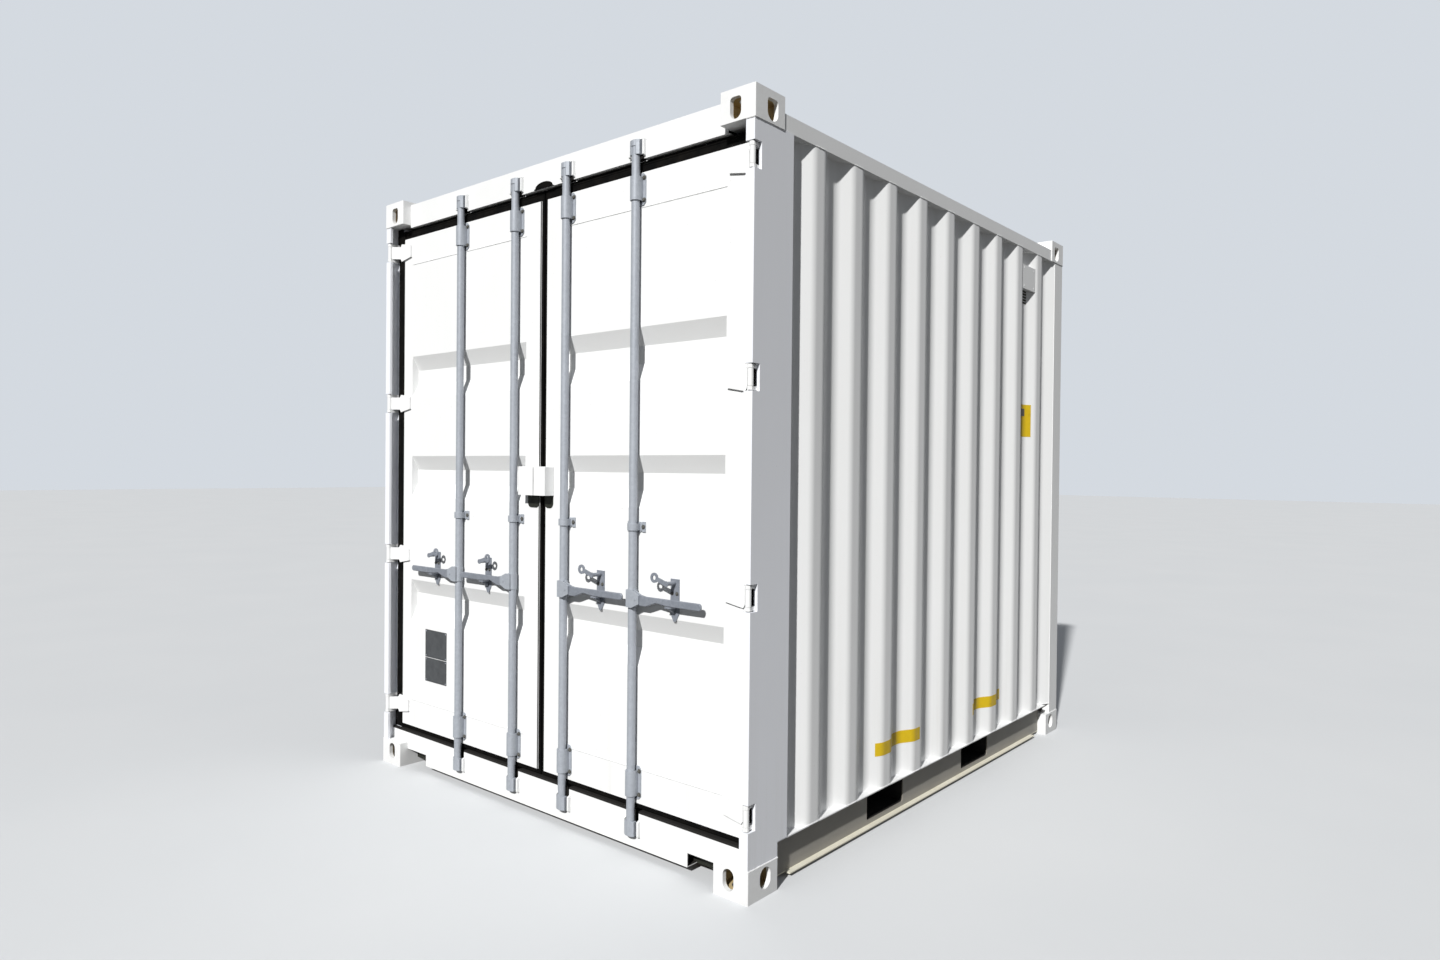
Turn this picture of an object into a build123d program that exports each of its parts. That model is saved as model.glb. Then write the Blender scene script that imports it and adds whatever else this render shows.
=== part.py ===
from build123d import *
import os
from math import atan2, cos, degrees, radians, sin

# Ten-foot high-cube shipping container, in millimetres.
# X runs across the doors, Y along the length with the doors at the -Y end, Z up from the casting feet.

os.makedirs("parts", exist_ok=True)

# Overall size
LENGTH = 2991.0
WIDTH = 2438.0
HEIGHT = 2896.0

# Corner castings
CASTING_X = 162.0
CASTING_Y = 178.0
CASTING_Z = 118.0
CASTING_OUTER_WALL = 20.0
CASTING_INNER_WALL = 12.0
CASTING_PLATE = 28.0
CASTING_BACK_PLATE = 8.0
CASTING_CHAMFER = 3.0
LOCK_HOLE_LENGTH = 124.5
LOCK_HOLE_WIDTH = 63.5
LOCK_HOLE_FROM_SIDE = 89.5
LOCK_HOLE_FROM_END = 102.5
SIDE_HOLE_HEIGHT = 79.5
SIDE_HOLE_WIDTH = 63.5
END_HOLE_WIDTH = 51.0
HOLE_TOP_RADIUS = 14.0

# How far the frame lies inside the faces of the castings
FRAME_INSET = 3.0

# Door posts
POST_FRONT_LEG = 40.0
POST_SIDE_LEG = 113.0
POST_SECTION = 12.0
POST_CHANNEL = 6.0
POST_DEPTH = 233.0
POST_SEAT_WIDTH = 66.0
POST_SEAT_SETBACK = 63.0

# End posts
END_POST_SIDE = 116.5
END_POST_FACE = 136.0
END_POST_LIP = 40.0
END_POST_DEPTH = 52.5
END_POST_SECTION = 6.0

# Top side rails
TOP_RAIL = 60.0
TOP_RAIL_WALL = 3.0
TOP_RAIL_INSET = 5.0

# Bottom side rails
BOTTOM_RAIL_Z = 14.0
BOTTOM_RAIL_HEIGHT = 162.0
BOTTOM_RAIL_TOP_FLANGE = 48.0
BOTTOM_RAIL_LIP = 30.0
BOTTOM_RAIL_WALL = 4.5
BOTTOM_RAIL_LIP_CUT = 110.0

# Side panels
SHEET = 2.0
SIDE_PANEL_INSET = 5.0
SIDE_CREST = 72.0
SIDE_SLOPE = 70.0
SIDE_TROUGH = 66.0
SIDE_DEPTH = 38.0
SIDE_FIRST_TROUGH = 75.5
SIDE_LAST_TROUGH = 18.0

# End panel
END_CREST = 110.0
END_SLOPE = 18.0
END_TROUGH = 104.0
END_DEPTH = 45.6

# End rails
END_RAIL_DEPTH = 60.0
END_RAIL_WALL = 4.0

# Roof
ROOF_RIB_PITCH = 209.0
ROOF_RIB_FOOT = 118.0
ROOF_RIB_TOP = 91.0
ROOF_RIB_HEIGHT = 20.0
ROOF_MARGIN = 60.0

# Floor and underframe
FLOOR = 28.0
MEMBER_RISE = 3.0
MEMBER_HEIGHT = 122.0
MEMBER_FLANGE = 45.0
MEMBER_WALL = 4.0
MEMBER_INNER = 140.0
MEMBER_PITCH = 270.0
FLOOR_BOARDS = 3
FLOOR_GAP = 2.0
FORK_CENTRE = 455.0
FORK_WIDTH = 312.0
FORK_BOTTOM = 38.0
FORK_TOP = 135.0
FORK_WALL = 4.0
FORK_STRAP = 200.0
FORK_CUT_TOP = 164.0
FORK_CUT_RADIUS = 12.0

# Door header and door sill
DOOR_BEAM_SETBACK = 46.5
DOOR_BEAM_DEPTH = 60.0
DOOR_BEAM_WALL = 4.0
HEADER_DROP = 16.0
HEADER_HEIGHT = 115.0
SILL_BOTTOM = 30.0
SILL_HEIGHT = 148.0
SILL_NOTCH_WIDTH = 167.0
SILL_NOTCH_TOP = 85.0

# Doors
DOOR_FACE_SETBACK = 57.5
DOOR_THICKNESS = 50.0
DOOR_SIDE_GAP = 22.0
DOOR_CENTRE = 18.0
DOOR_BOTTOM_GAP = 26.0
DOOR_TOP_GAP = 49.0
DOOR_SECTION = 3.2
DOOR_STILE_HINGE = 78.0
DOOR_STILE_CENTRE = 102.0
DOOR_RAIL = 138.0
DOOR_FOLD_FROM_TOP = 611.0
DOOR_FOLD_FROM_BOTTOM = 756.0
DOOR_FOLD_MIDDLE_RISE = 62.0
DOOR_FOLD_SLOPE = 70.0
DOOR_FOLD_FLAT = 70.0
DOOR_FOLD_DEPTH = 36.0
DRAIN_SPACING = 600.0
DRAIN_LENGTH = 40.0
DRAIN_WIDTH = 12.0

# Gaskets
GASKET_INSET = 6.0
GASKET_DEPTH = 38.0
GASKET_GAP = 5.0

# Hinges
HINGE_COUNT = 4
HINGE_FROM_BOTTOM = 101.0
HINGE_FROM_TOP = 66.0
HINGE_INSET = 21.0
HINGE_SETBACK = 14.5
HINGE_BARREL_RADIUS = 11.0
HINGE_BARREL_HEIGHT = 62.0
HINGE_PIN_RADIUS = 7.0
PIN_CLEARANCE = 0.4
HINGE_LUG = 14.0
HINGE_LUG_GAP = 1.0
HINGE_LUG_CHAMFER = 6.0
HINGE_NOTCH_HEIGHT = 98.0
HINGE_NOTCH_DEPTH = 44.0
HINGE_NOTCH_WIDTH = 45.0
HINGE_BLADE = 9.0
HINGE_BLADE_RUN = 42.0
HINGE_BLADE_ON_LEAF = 66.0
HINGE_BLADE_HEIGHT = 90.0
HINGE_BLADE_END = 60.0
HINGE_BLADE_FLARE = 9.0

# Locking bars
BAR_INNER_X = 175.0
BAR_SETBACK = 33.5
BAR_RADIUS = 17.0
BAR_BELOW_SILL_TOP = 98.0
BAR_ABOVE_HEADER_FOOT = 73.0
CAM_HEIGHT = 58.0
CAM_REACH = 26.0
CAM_BACK = 8.0
CAM_NOSE = 15.0
CAM_NOSE_WIDTH = 14.0
KEEPER_GAP = 7.0
KEEPER_EAR = 9.0
KEEPER_FRONT_SETBACK = 10.0
KEEPER_HEIGHT = 72.0
KEEPER_FRONT_HEIGHT = 50.0
KEEPER_OPENING = 66.0

# Bar brackets
BRACKET_PLATE = 5.0
BRACKET_WIDTH = 72.0
BRACKET_CORNER = 12.0
BRACKET_FROM_TOP = 68.0
BRACKET_TOP_HEIGHT = 126.0
BRACKET_FROM_BOTTOM = 85.0
BRACKET_BOTTOM_HEIGHT = 132.0
BRACKET_SHOULDER = 16.0
GUIDE_Z = 1310.0
GUIDE_HEIGHT = 40.0
GUIDE_SHOULDER = 6.0
STRAP_GAP = 0.5
STRAP = 5.0

# Handles
HANDLE_Z = 1027.0
HANDLE_PIVOT = 38.0
HANDLE_TIP_GAP = 40.0
HANDLE_EDGE_GAP = 153.0
HANDLE_THICKNESS = 10.0
HANDLE_CHAMFER = 2.5
HANDLE_FRONT_SETBACK = 12.5
HANDLE_EYE = 19.0
HANDLE_ROOT = 24.0
HANDLE_ROOT_RUN = 54.0
HANDLE_TOP = 15.0
HANDLE_WAIST = 5.0
HANDLE_WAIST_RUN = 110.0
HANDLE_GRIP = 12.0
HANDLE_GRIP_RUN = 168.0
HANDLE_TIP_RADIUS = 12.0
HANDLE_PIN_RADIUS = 6.0
HANDLE_PIN_HEAD = 2.0
HUB_RADIUS = 20.0
HUB_HEIGHT = 70.0
HUB_SIDE = 10.0
HUB_REACH = 60.0
HUB_END_HEIGHT = 34.0
HUB_CHEEK = 5.0
HUB_GAP = 1.0

# Handle rests and catches
REST_FROM_TIP = 168.0
REST_WIDTH = 44.0
REST_TOP = 1118.0
REST_SHOULDER = 984.0
REST_FOOT = 954.0
REST_FOOT_WIDTH = 12.0
REST_PLATE = 5.0
REST_GAP = 1.0
REST_SHELF = 6.0
REST_SHELF_WIDTH = 32.0
REST_WEB = 8.0
CATCH_BOSS_RADIUS = 8.0
CATCH_PIVOT_Z = 1103.0
CATCH_THICKNESS = 4.5
CATCH_FRONT_SETBACK = 1.5
CATCH_EYE = 11.0
CATCH_ARM = 17.0
CATCH_LENGTH = 65.0
CATCH_ANGLE = 163.0
CATCH_RING = 20.0
CATCH_HOLE = 9.0
CATCH_SIDES = 12
CATCH_PIN_RADIUS = 4.5

# Lock box and data plate
LOCK_BOX_LEFT = -28.0
LOCK_BOX_RIGHT = 80.0
LOCK_BOX_SPLIT = 3.0
LOCK_BOX_BOTTOM = 1420.0
LOCK_BOX_TOP = 1528.0
LOCK_BOX_FRONT_SETBACK = 4.5
LOCK_BOX_WALL = 4.0
PLATE_FROM_EDGE = 212.0
PLATE_WIDTH = 186.0
PLATE_BOTTOM = 458.0
PLATE_TOP = 719.0
PLATE_SPLIT = 579.0
PLATE_THICKNESS = 1.5
PLATE_GAP = 1.5

# Side vents
VENT_DROP = 87.0
VENT_HEIGHT = 131.0
VENT_INSET = 6.0
VENT_GAP = 2.0

# Planes and lines that follow from the sizes
DOOR_PLANE = -LENGTH / 2
FRAME_X = WIDTH / 2 - FRAME_INSET
FRAME_FRONT = -LENGTH / 2 + FRAME_INSET
FRAME_BACK = LENGTH / 2 - FRAME_INSET
CASTING_INNER_X = WIDTH / 2 - CASTING_X
CASTING_INNER_Y = LENGTH / 2 - CASTING_Y
RAIL_BOTTOM = HEIGHT - CASTING_Z
RAIL_TOP = RAIL_BOTTOM + TOP_RAIL
BOTTOM_RAIL_TOP = BOTTOM_RAIL_Z + BOTTOM_RAIL_HEIGHT
SIDE_X = WIDTH / 2 - SIDE_PANEL_INSET
BOTTOM_RAIL_X = SIDE_X - BOTTOM_RAIL_TOP_FLANGE
POST_BACK = FRAME_FRONT + POST_DEPTH
POST_SEAT = DOOR_PLANE + POST_SEAT_SETBACK
DOORWAY_HALF = FRAME_X - POST_SEAT_WIDTH
END_POST_START = FRAME_BACK - END_POST_SIDE
END_POST_INNER_X = FRAME_X - END_POST_FACE
BEAM_FACE = DOOR_PLANE + DOOR_BEAM_SETBACK
BEAM_BACK = BEAM_FACE + DOOR_BEAM_DEPTH
END_RAIL_FRONT = FRAME_BACK - END_RAIL_DEPTH
HEADER_TOP = HEIGHT - HEADER_DROP
HEADER_BOTTOM = HEADER_TOP - HEADER_HEIGHT
SILL_TOP = SILL_BOTTOM + SILL_HEIGHT
DOOR_FACE = DOOR_PLANE + DOOR_FACE_SETBACK
DOOR_BACK = DOOR_FACE + DOOR_THICKNESS
DOOR_EDGE = DOORWAY_HALF - DOOR_SIDE_GAP
DOOR_WIDTH = DOOR_EDGE - DOOR_CENTRE
DOOR_BOTTOM = SILL_TOP + DOOR_BOTTOM_GAP
DOOR_TOP = HEADER_BOTTOM - DOOR_TOP_GAP
DOOR_HEIGHT = DOOR_TOP - DOOR_BOTTOM
PANEL_LEFT = DOOR_CENTRE + DOOR_STILE_CENTRE
PANEL_WIDTH = DOOR_WIDTH - DOOR_STILE_CENTRE - DOOR_STILE_HINGE
HINGE_X = WIDTH / 2 - HINGE_INSET
HINGE_Y = DOOR_PLANE + HINGE_SETBACK
HINGE_FIRST = DOOR_BOTTOM + HINGE_FROM_BOTTOM
HINGE_LAST = DOOR_TOP - HINGE_FROM_TOP
HINGE_PITCH = (HINGE_LAST - HINGE_FIRST) / (HINGE_COUNT - 1)
HINGE_HEIGHTS = [HINGE_FIRST + i * HINGE_PITCH for i in range(HINGE_COUNT)]
HANDLE_REACH = (DOOR_EDGE - HANDLE_EDGE_GAP - BAR_INNER_X - HANDLE_TIP_GAP) / 2
BAR_POSITIONS = (BAR_INNER_X, BAR_INNER_X + HANDLE_REACH + HANDLE_TIP_GAP)
ALL_BARS = [side * x for side in (-1, 1) for x in BAR_POSITIONS]
BAR_Y = DOOR_PLANE + BAR_SETBACK
BAR_BOTTOM = SILL_TOP - BAR_BELOW_SILL_TOP
BAR_TOP = HEADER_BOTTOM + BAR_ABOVE_HEADER_FOOT
CAM_SWEEP = (CAM_REACH**2 + CAM_BACK**2) ** 0.5
HANDLE_FRONT = DOOR_PLANE + HANDLE_FRONT_SETBACK
HANDLE_BACK = HANDLE_FRONT + HANDLE_THICKNESS
REST_OFFSET = HANDLE_REACH - REST_FROM_TIP
CATCH_FRONT = DOOR_PLANE + CATCH_FRONT_SETBACK
CATCH_BACK = CATCH_FRONT + CATCH_THICKNESS
MEMBER_Z = BOTTOM_RAIL_Z + MEMBER_RISE
FLOOR_BOTTOM = MEMBER_Z + MEMBER_HEIGHT


def save(part, name):
    part.label = name
    export_step(part, f"parts/{name}.step")


def mirrored(part):
    return mirror(part, about=Plane.YZ)


def folded(start, end, ridges, crest, slope, depth):
    """Points (run, rise) of a folded sheet from trough to trough; each ridge climbs to rise 0."""
    points = [(start, -depth)]
    for ridge in ridges:
        points.append((ridge, -depth))
        points.append((ridge + slope, 0))
        points.append((ridge + slope + crest, 0))
        points.append((ridge + 2 * slope + crest, -depth))
    points.append((end, -depth))
    return points


def casting_holes(width, centres, top):
    """Openings in one outer face of a pair of castings; the upper ones are square-shouldered."""
    with BuildSketch() as holes:
        with Locations(*centres):
            SlotOverall(SIDE_HOLE_HEIGHT, width, rotation=90)
            if top:
                Rectangle(width, SIDE_HOLE_HEIGHT / 2, align=(Align.CENTER, Align.MIN))
        if top:
            fillet(holes.vertices().group_by(Axis.Y)[-1], radius=HOLE_TOP_RADIUS)
    return holes.sketch


def corner_castings(top):
    """The four castings of one level: hollow, with a lock hole and a hole in each outer face."""
    z0 = RAIL_BOTTOM if top else 0
    walls = CASTING_OUTER_WALL + CASTING_INNER_WALL
    hollow_x = WIDTH - 2 * CASTING_OUTER_WALL - CASTING_X + walls
    hollow_y = LENGTH - 2 * CASTING_OUTER_WALL - CASTING_Y + walls
    hollow_z = CASTING_Z - CASTING_PLATE - CASTING_BACK_PLATE
    hollow_z0 = z0 + (CASTING_BACK_PLATE if top else CASTING_PLATE)
    hole_z = hollow_z0 + hollow_z / 2
    plate_z = HEIGHT if top else CASTING_PLATE
    hole_x = WIDTH / 2 - LOCK_HOLE_FROM_SIDE
    hole_y = LENGTH / 2 - LOCK_HOLE_FROM_END
    side_holes = casting_holes(SIDE_HOLE_WIDTH, [(-hole_y, hole_z), (hole_y, hole_z)], top)
    end_holes = casting_holes(END_HOLE_WIDTH, [(-hole_x, hole_z), (hole_x, hole_z)], top)
    with BuildPart() as castings:
        with BuildSketch(Plane.XY.offset(z0)):
            with GridLocations(WIDTH - CASTING_X, LENGTH - CASTING_Y, 2, 2):
                Rectangle(CASTING_X, CASTING_Y)
        extrude(amount=CASTING_Z)
        chamfer(castings.edges().filter_by(Axis.Z), length=CASTING_CHAMFER)
        with BuildSketch(Plane.XY.offset(hollow_z0)):
            with GridLocations(hollow_x, hollow_y, 2, 2):
                Rectangle(CASTING_X - walls, CASTING_Y - walls)
        extrude(amount=hollow_z, mode=Mode.SUBTRACT)
        with BuildSketch(Plane.XY.offset(plate_z)):
            with GridLocations(2 * hole_x, 2 * hole_y, 2, 2):
                SlotOverall(LOCK_HOLE_LENGTH, LOCK_HOLE_WIDTH, rotation=90)
        extrude(amount=-CASTING_PLATE, mode=Mode.SUBTRACT)
        for side in (-1, 1):
            with BuildSketch(Plane.YZ.offset(side * WIDTH / 2)):
                add(side_holes)
            extrude(amount=-side * CASTING_OUTER_WALL, mode=Mode.SUBTRACT)
            with BuildSketch(Plane.XZ.offset(side * LENGTH / 2)):
                add(end_holes)
            extrude(amount=-side * CASTING_OUTER_WALL, mode=Mode.SUBTRACT)
    return castings.part


save(corner_castings(True), "corner_castings_top")
save(corner_castings(False), "corner_castings_bottom")

# Door posts: a thick outer section with a folded channel behind it, notched at the hinges
with BuildPart() as door_post:
    with BuildSketch(Plane.XY.offset(CASTING_Z)):
        with BuildLine():
            Polyline(
                (FRAME_X - POST_FRONT_LEG, FRAME_FRONT),
                (FRAME_X, FRAME_FRONT),
                (FRAME_X, POST_BACK),
                (DOORWAY_HALF, POST_BACK),
                (DOORWAY_HALF, POST_SEAT),
                (FRAME_X - POST_SECTION, POST_SEAT),
                (FRAME_X - POST_SECTION, FRAME_FRONT + POST_SECTION),
                (FRAME_X - POST_FRONT_LEG, FRAME_FRONT + POST_SECTION),
                close=True,
            )
        make_face()
        with BuildLine():
            Polyline(
                (DOORWAY_HALF + POST_CHANNEL, POST_SEAT + POST_CHANNEL),
                (FRAME_X - POST_SECTION, POST_SEAT + POST_CHANNEL),
                (FRAME_X - POST_SECTION, FRAME_FRONT + POST_SIDE_LEG),
                (FRAME_X - POST_CHANNEL, FRAME_FRONT + POST_SIDE_LEG),
                (FRAME_X - POST_CHANNEL, POST_BACK - POST_CHANNEL),
                (DOORWAY_HALF + POST_CHANNEL, POST_BACK - POST_CHANNEL),
                close=True,
            )
        make_face(mode=Mode.SUBTRACT)
    extrude(amount=RAIL_BOTTOM - CASTING_Z)
    with BuildSketch(Plane.XY.offset(CASTING_Z)):
        with Locations((FRAME_X, -CASTING_INNER_Y)):
            Rectangle(2 * POST_DEPTH, POST_DEPTH, align=(Align.CENTER, Align.MIN))
    extrude(amount=BOTTOM_RAIL_TOP - CASTING_Z, mode=Mode.SUBTRACT)
    for height in HINGE_HEIGHTS:
        with BuildSketch(Plane.XY.offset(height - HINGE_NOTCH_HEIGHT / 2)):
            with Locations((FRAME_X, DOOR_PLANE)):
                Rectangle(2 * HINGE_NOTCH_WIDTH, 2 * HINGE_NOTCH_DEPTH)
        extrude(amount=HINGE_NOTCH_HEIGHT, mode=Mode.SUBTRACT)
save(door_post.part, "door_post_right")
save(mirrored(door_post.part), "door_post_left")

# End posts: one pressed section each
with BuildPart() as end_post:
    with BuildSketch(Plane.XY.offset(CASTING_Z)):
        with BuildLine():
            Polyline(
                (FRAME_X, END_POST_START),
                (FRAME_X, FRAME_BACK),
                (END_POST_INNER_X, FRAME_BACK),
                (END_POST_INNER_X, FRAME_BACK - END_POST_DEPTH),
                (FRAME_X - END_POST_LIP, FRAME_BACK - END_POST_DEPTH),
                (FRAME_X - END_POST_LIP, END_POST_START),
                close=True,
            )
        make_face()
        offset(amount=-END_POST_SECTION, mode=Mode.SUBTRACT)
    extrude(amount=RAIL_BOTTOM - CASTING_Z)
    mirror(about=Plane.YZ)
save(end_post.part, "end_posts")

# Top side rails
with BuildPart() as top_side_rails:
    with BuildSketch(Plane.XZ.offset(CASTING_INNER_Y)):
        with Locations((WIDTH / 2 - TOP_RAIL_INSET, RAIL_BOTTOM)):
            Rectangle(TOP_RAIL, TOP_RAIL, align=(Align.MAX, Align.MIN))
        with Locations((WIDTH / 2 - TOP_RAIL_INSET - TOP_RAIL_WALL, RAIL_BOTTOM + TOP_RAIL_WALL)):
            inner = TOP_RAIL - 2 * TOP_RAIL_WALL
            Rectangle(inner, inner, align=(Align.MAX, Align.MIN), mode=Mode.SUBTRACT)
    extrude(amount=-2 * CASTING_INNER_Y)
    mirror(about=Plane.YZ)
save(top_side_rails.part, "top_side_rails")

# Bottom side rails: outward channels, cut through for the fork pockets
with BuildPart() as bottom_side_rails:
    with BuildSketch(Plane.XZ.offset(CASTING_INNER_Y)):
        with BuildLine():
            Polyline(
                (SIDE_X, BOTTOM_RAIL_TOP),
                (BOTTOM_RAIL_X, BOTTOM_RAIL_TOP),
                (BOTTOM_RAIL_X, BOTTOM_RAIL_Z),
                (BOTTOM_RAIL_X + BOTTOM_RAIL_LIP, BOTTOM_RAIL_Z),
                (BOTTOM_RAIL_X + BOTTOM_RAIL_LIP, BOTTOM_RAIL_Z + BOTTOM_RAIL_WALL),
                (BOTTOM_RAIL_X + BOTTOM_RAIL_WALL, BOTTOM_RAIL_Z + BOTTOM_RAIL_WALL),
                (BOTTOM_RAIL_X + BOTTOM_RAIL_WALL, BOTTOM_RAIL_TOP - BOTTOM_RAIL_WALL),
                (SIDE_X, BOTTOM_RAIL_TOP - BOTTOM_RAIL_WALL),
                close=True,
            )
        make_face()
    extrude(amount=-2 * CASTING_INNER_Y)
    with BuildSketch(Plane.YZ.offset(BOTTOM_RAIL_X)):
        with Locations((-FORK_CENTRE, FORK_BOTTOM), (FORK_CENTRE, FORK_BOTTOM)):
            RectangleRounded(
                FORK_WIDTH, FORK_CUT_TOP - FORK_BOTTOM, FORK_CUT_RADIUS, align=(Align.CENTER, Align.MIN)
            )
    extrude(amount=BOTTOM_RAIL_WALL, mode=Mode.SUBTRACT)
    with BuildSketch(Plane.XY.offset(BOTTOM_RAIL_Z)):
        lip_x = BOTTOM_RAIL_X + BOTTOM_RAIL_WALL
        with Locations((lip_x, -CASTING_INNER_Y), (lip_x, CASTING_INNER_Y)):
            Rectangle(BOTTOM_RAIL_LIP, 2 * BOTTOM_RAIL_LIP_CUT, align=(Align.MIN, Align.CENTER))
    extrude(amount=BOTTOM_RAIL_WALL, mode=Mode.SUBTRACT)
    mirror(about=Plane.YZ)
save(bottom_side_rails.part, "bottom_side_rails")

# Side panels: upright trapezoid folds between the posts, ending on a flank at the end post
side_start = POST_BACK + SIDE_FIRST_TROUGH
side_end = END_POST_START - SHEET
side_pitch = SIDE_CREST + 2 * SIDE_SLOPE + SIDE_TROUGH
side_room = side_end - SIDE_SLOPE - SIDE_LAST_TROUGH - side_start
side_count = int((side_room + SIDE_TROUGH) // side_pitch)
side_ridges = [side_start + i * side_pitch for i in range(side_count)]
side_points = folded(POST_BACK, side_end - SIDE_SLOPE, side_ridges, SIDE_CREST, SIDE_SLOPE, SIDE_DEPTH)
side_points.append((side_end, 0))
with BuildPart() as side_panel:
    with BuildSketch(Plane.XY.offset(BOTTOM_RAIL_TOP)):
        with BuildLine():
            Polyline(*[(SIDE_X + rise, run) for run, rise in side_points])
            offset(amount=SHEET, side=Side.LEFT, kind=Kind.INTERSECTION)
        make_face()
    extrude(amount=RAIL_BOTTOM - BOTTOM_RAIL_TOP)
save(side_panel.part, "side_panel_right")
save(mirrored(side_panel.part), "side_panel_left")

# End panel: upright folds between the end posts and the end rails
end_pitch = END_CREST + 2 * END_SLOPE + END_TROUGH
end_count = int((2 * END_POST_INNER_X + END_TROUGH) // end_pitch)
end_first = -(end_count * end_pitch - END_TROUGH) / 2
end_ridges = [end_first + i * end_pitch for i in range(end_count)]
end_points = folded(-END_POST_INNER_X, END_POST_INNER_X, end_ridges, END_CREST, END_SLOPE, END_DEPTH)
end_y = LENGTH / 2 - SIDE_PANEL_INSET
with BuildPart() as end_panel:
    with BuildSketch(Plane.XY.offset(BOTTOM_RAIL_TOP)):
        with BuildLine():
            Polyline(*[(run, end_y + rise) for run, rise in end_points])
            offset(amount=SHEET, side=Side.RIGHT, kind=Kind.INTERSECTION)
        make_face()
    extrude(amount=RAIL_BOTTOM - BOTTOM_RAIL_TOP)
save(end_panel.part, "end_panel")


def hollow_beam(y0, y1, z0, z1, wall):
    """A square tube across the container between the castings."""
    with BuildPart() as beam:
        with BuildSketch(Plane.YZ.offset(-CASTING_INNER_X)):
            with Locations(((y0 + y1) / 2, (z0 + z1) / 2)):
                Rectangle(y1 - y0, z1 - z0)
            offset(amount=-wall, mode=Mode.SUBTRACT)
        extrude(amount=2 * CASTING_INNER_X)
    return beam.part


save(hollow_beam(END_RAIL_FRONT, FRAME_BACK, RAIL_BOTTOM, RAIL_TOP, END_RAIL_WALL), "end_top_rail")
save(hollow_beam(END_RAIL_FRONT, FRAME_BACK, BOTTOM_RAIL_Z, BOTTOM_RAIL_TOP, END_RAIL_WALL), "end_bottom_rail")

# Door header, open in front behind each cam
header_tube = hollow_beam(BEAM_FACE, BEAM_BACK, HEADER_BOTTOM, HEADER_TOP, DOOR_BEAM_WALL)
with BuildPart() as door_header:
    add(header_tube)
    with BuildSketch(Plane.XZ.offset(-BEAM_FACE)):
        with Locations(*[(x, HEADER_BOTTOM) for x in ALL_BARS]):
            Rectangle(KEEPER_OPENING, BAR_TOP - HEADER_BOTTOM + KEEPER_GAP, align=(Align.CENTER, Align.MIN))
    extrude(amount=-DOOR_BEAM_DEPTH / 2, mode=Mode.SUBTRACT)
save(door_header.part, "door_header")

# Door sill, raised beside the castings and open in front behind each cam
sill_tube = hollow_beam(BEAM_FACE, BEAM_BACK, SILL_BOTTOM, SILL_TOP, DOOR_BEAM_WALL)
with BuildPart() as door_sill:
    add(sill_tube)
    with BuildSketch(Plane.XZ.offset(-BEAM_FACE)):
        with Locations((-CASTING_INNER_X, SILL_BOTTOM), (CASTING_INNER_X, SILL_BOTTOM)):
            Rectangle(2 * SILL_NOTCH_WIDTH, SILL_NOTCH_TOP - SILL_BOTTOM, align=(Align.CENTER, Align.MIN))
    extrude(amount=-DOOR_BEAM_DEPTH, mode=Mode.SUBTRACT)
    with BuildSketch(Plane.XZ.offset(-BEAM_FACE)):
        with Locations(*[(x, SILL_TOP) for x in ALL_BARS]):
            Rectangle(KEEPER_OPENING, SILL_TOP - BAR_BOTTOM + KEEPER_GAP, align=(Align.CENTER, Align.MAX))
    extrude(amount=-DOOR_BEAM_DEPTH / 2, mode=Mode.SUBTRACT)
save(door_sill.part, "door_sill")


def keepers(z0):
    """Two upright ears on the beam beside each cam, lower at the front."""
    front = DOOR_PLANE + KEEPER_FRONT_SETBACK
    slope = (KEEPER_HEIGHT - KEEPER_FRONT_HEIGHT) / 2
    inner = CAM_SWEEP + KEEPER_GAP
    with BuildPart() as ears:
        for x in ALL_BARS:
            for x0 in (x - inner - KEEPER_EAR, x + inner):
                with BuildSketch(Plane.YZ.offset(x0)):
                    with BuildLine():
                        Polyline(
                            (BEAM_FACE, z0),
                            (front, z0 + slope),
                            (front, z0 + KEEPER_HEIGHT - slope),
                            (BEAM_FACE, z0 + KEEPER_HEIGHT),
                            close=True,
                        )
                    make_face()
                extrude(amount=KEEPER_EAR)
    return ears.part


save(keepers(HEADER_BOTTOM + KEEPER_GAP), "header_keepers")
save(keepers(BAR_BOTTOM - KEEPER_GAP), "sill_keepers")

# Roof: flat sheet with pressed ribs across it
roof_half = WIDTH / 2 - TOP_RAIL_INSET
rib_half = roof_half - TOP_RAIL - ROOF_MARGIN
rib_count = int((END_RAIL_FRONT - BEAM_BACK - ROOF_RIB_PITCH) // ROOF_RIB_PITCH)
rib_middle = (BEAM_BACK + END_RAIL_FRONT) / 2
rib_taper = degrees(atan2((ROOF_RIB_FOOT - ROOF_RIB_TOP) / 2, ROOF_RIB_HEIGHT))
with BuildPart() as roof_panel:
    with BuildSketch(Plane.XY.offset(RAIL_TOP)):
        Rectangle(2 * roof_half, 2 * CASTING_INNER_Y)
        with Locations((0, rib_middle)):
            Rectangle(2 * CASTING_INNER_X, END_RAIL_FRONT - BEAM_BACK)
    extrude(amount=SHEET)
    with BuildSketch(Plane.XY.offset(RAIL_TOP)):
        with Locations((0, rib_middle)):
            with GridLocations(0, ROOF_RIB_PITCH, 1, rib_count):
                Rectangle(2 * rib_half, ROOF_RIB_FOOT)
    extrude(amount=ROOF_RIB_HEIGHT, taper=rib_taper)
    with BuildSketch(Plane.XY.offset(RAIL_TOP)):
        with Locations((0, rib_middle)):
            with GridLocations(0, ROOF_RIB_PITCH, 1, rib_count):
                Rectangle(2 * (rib_half - SHEET), ROOF_RIB_FOOT - 2 * SHEET)
    extrude(amount=ROOF_RIB_HEIGHT - SHEET, taper=rib_taper, mode=Mode.SUBTRACT)
save(roof_panel.part, "roof_panel")

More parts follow.
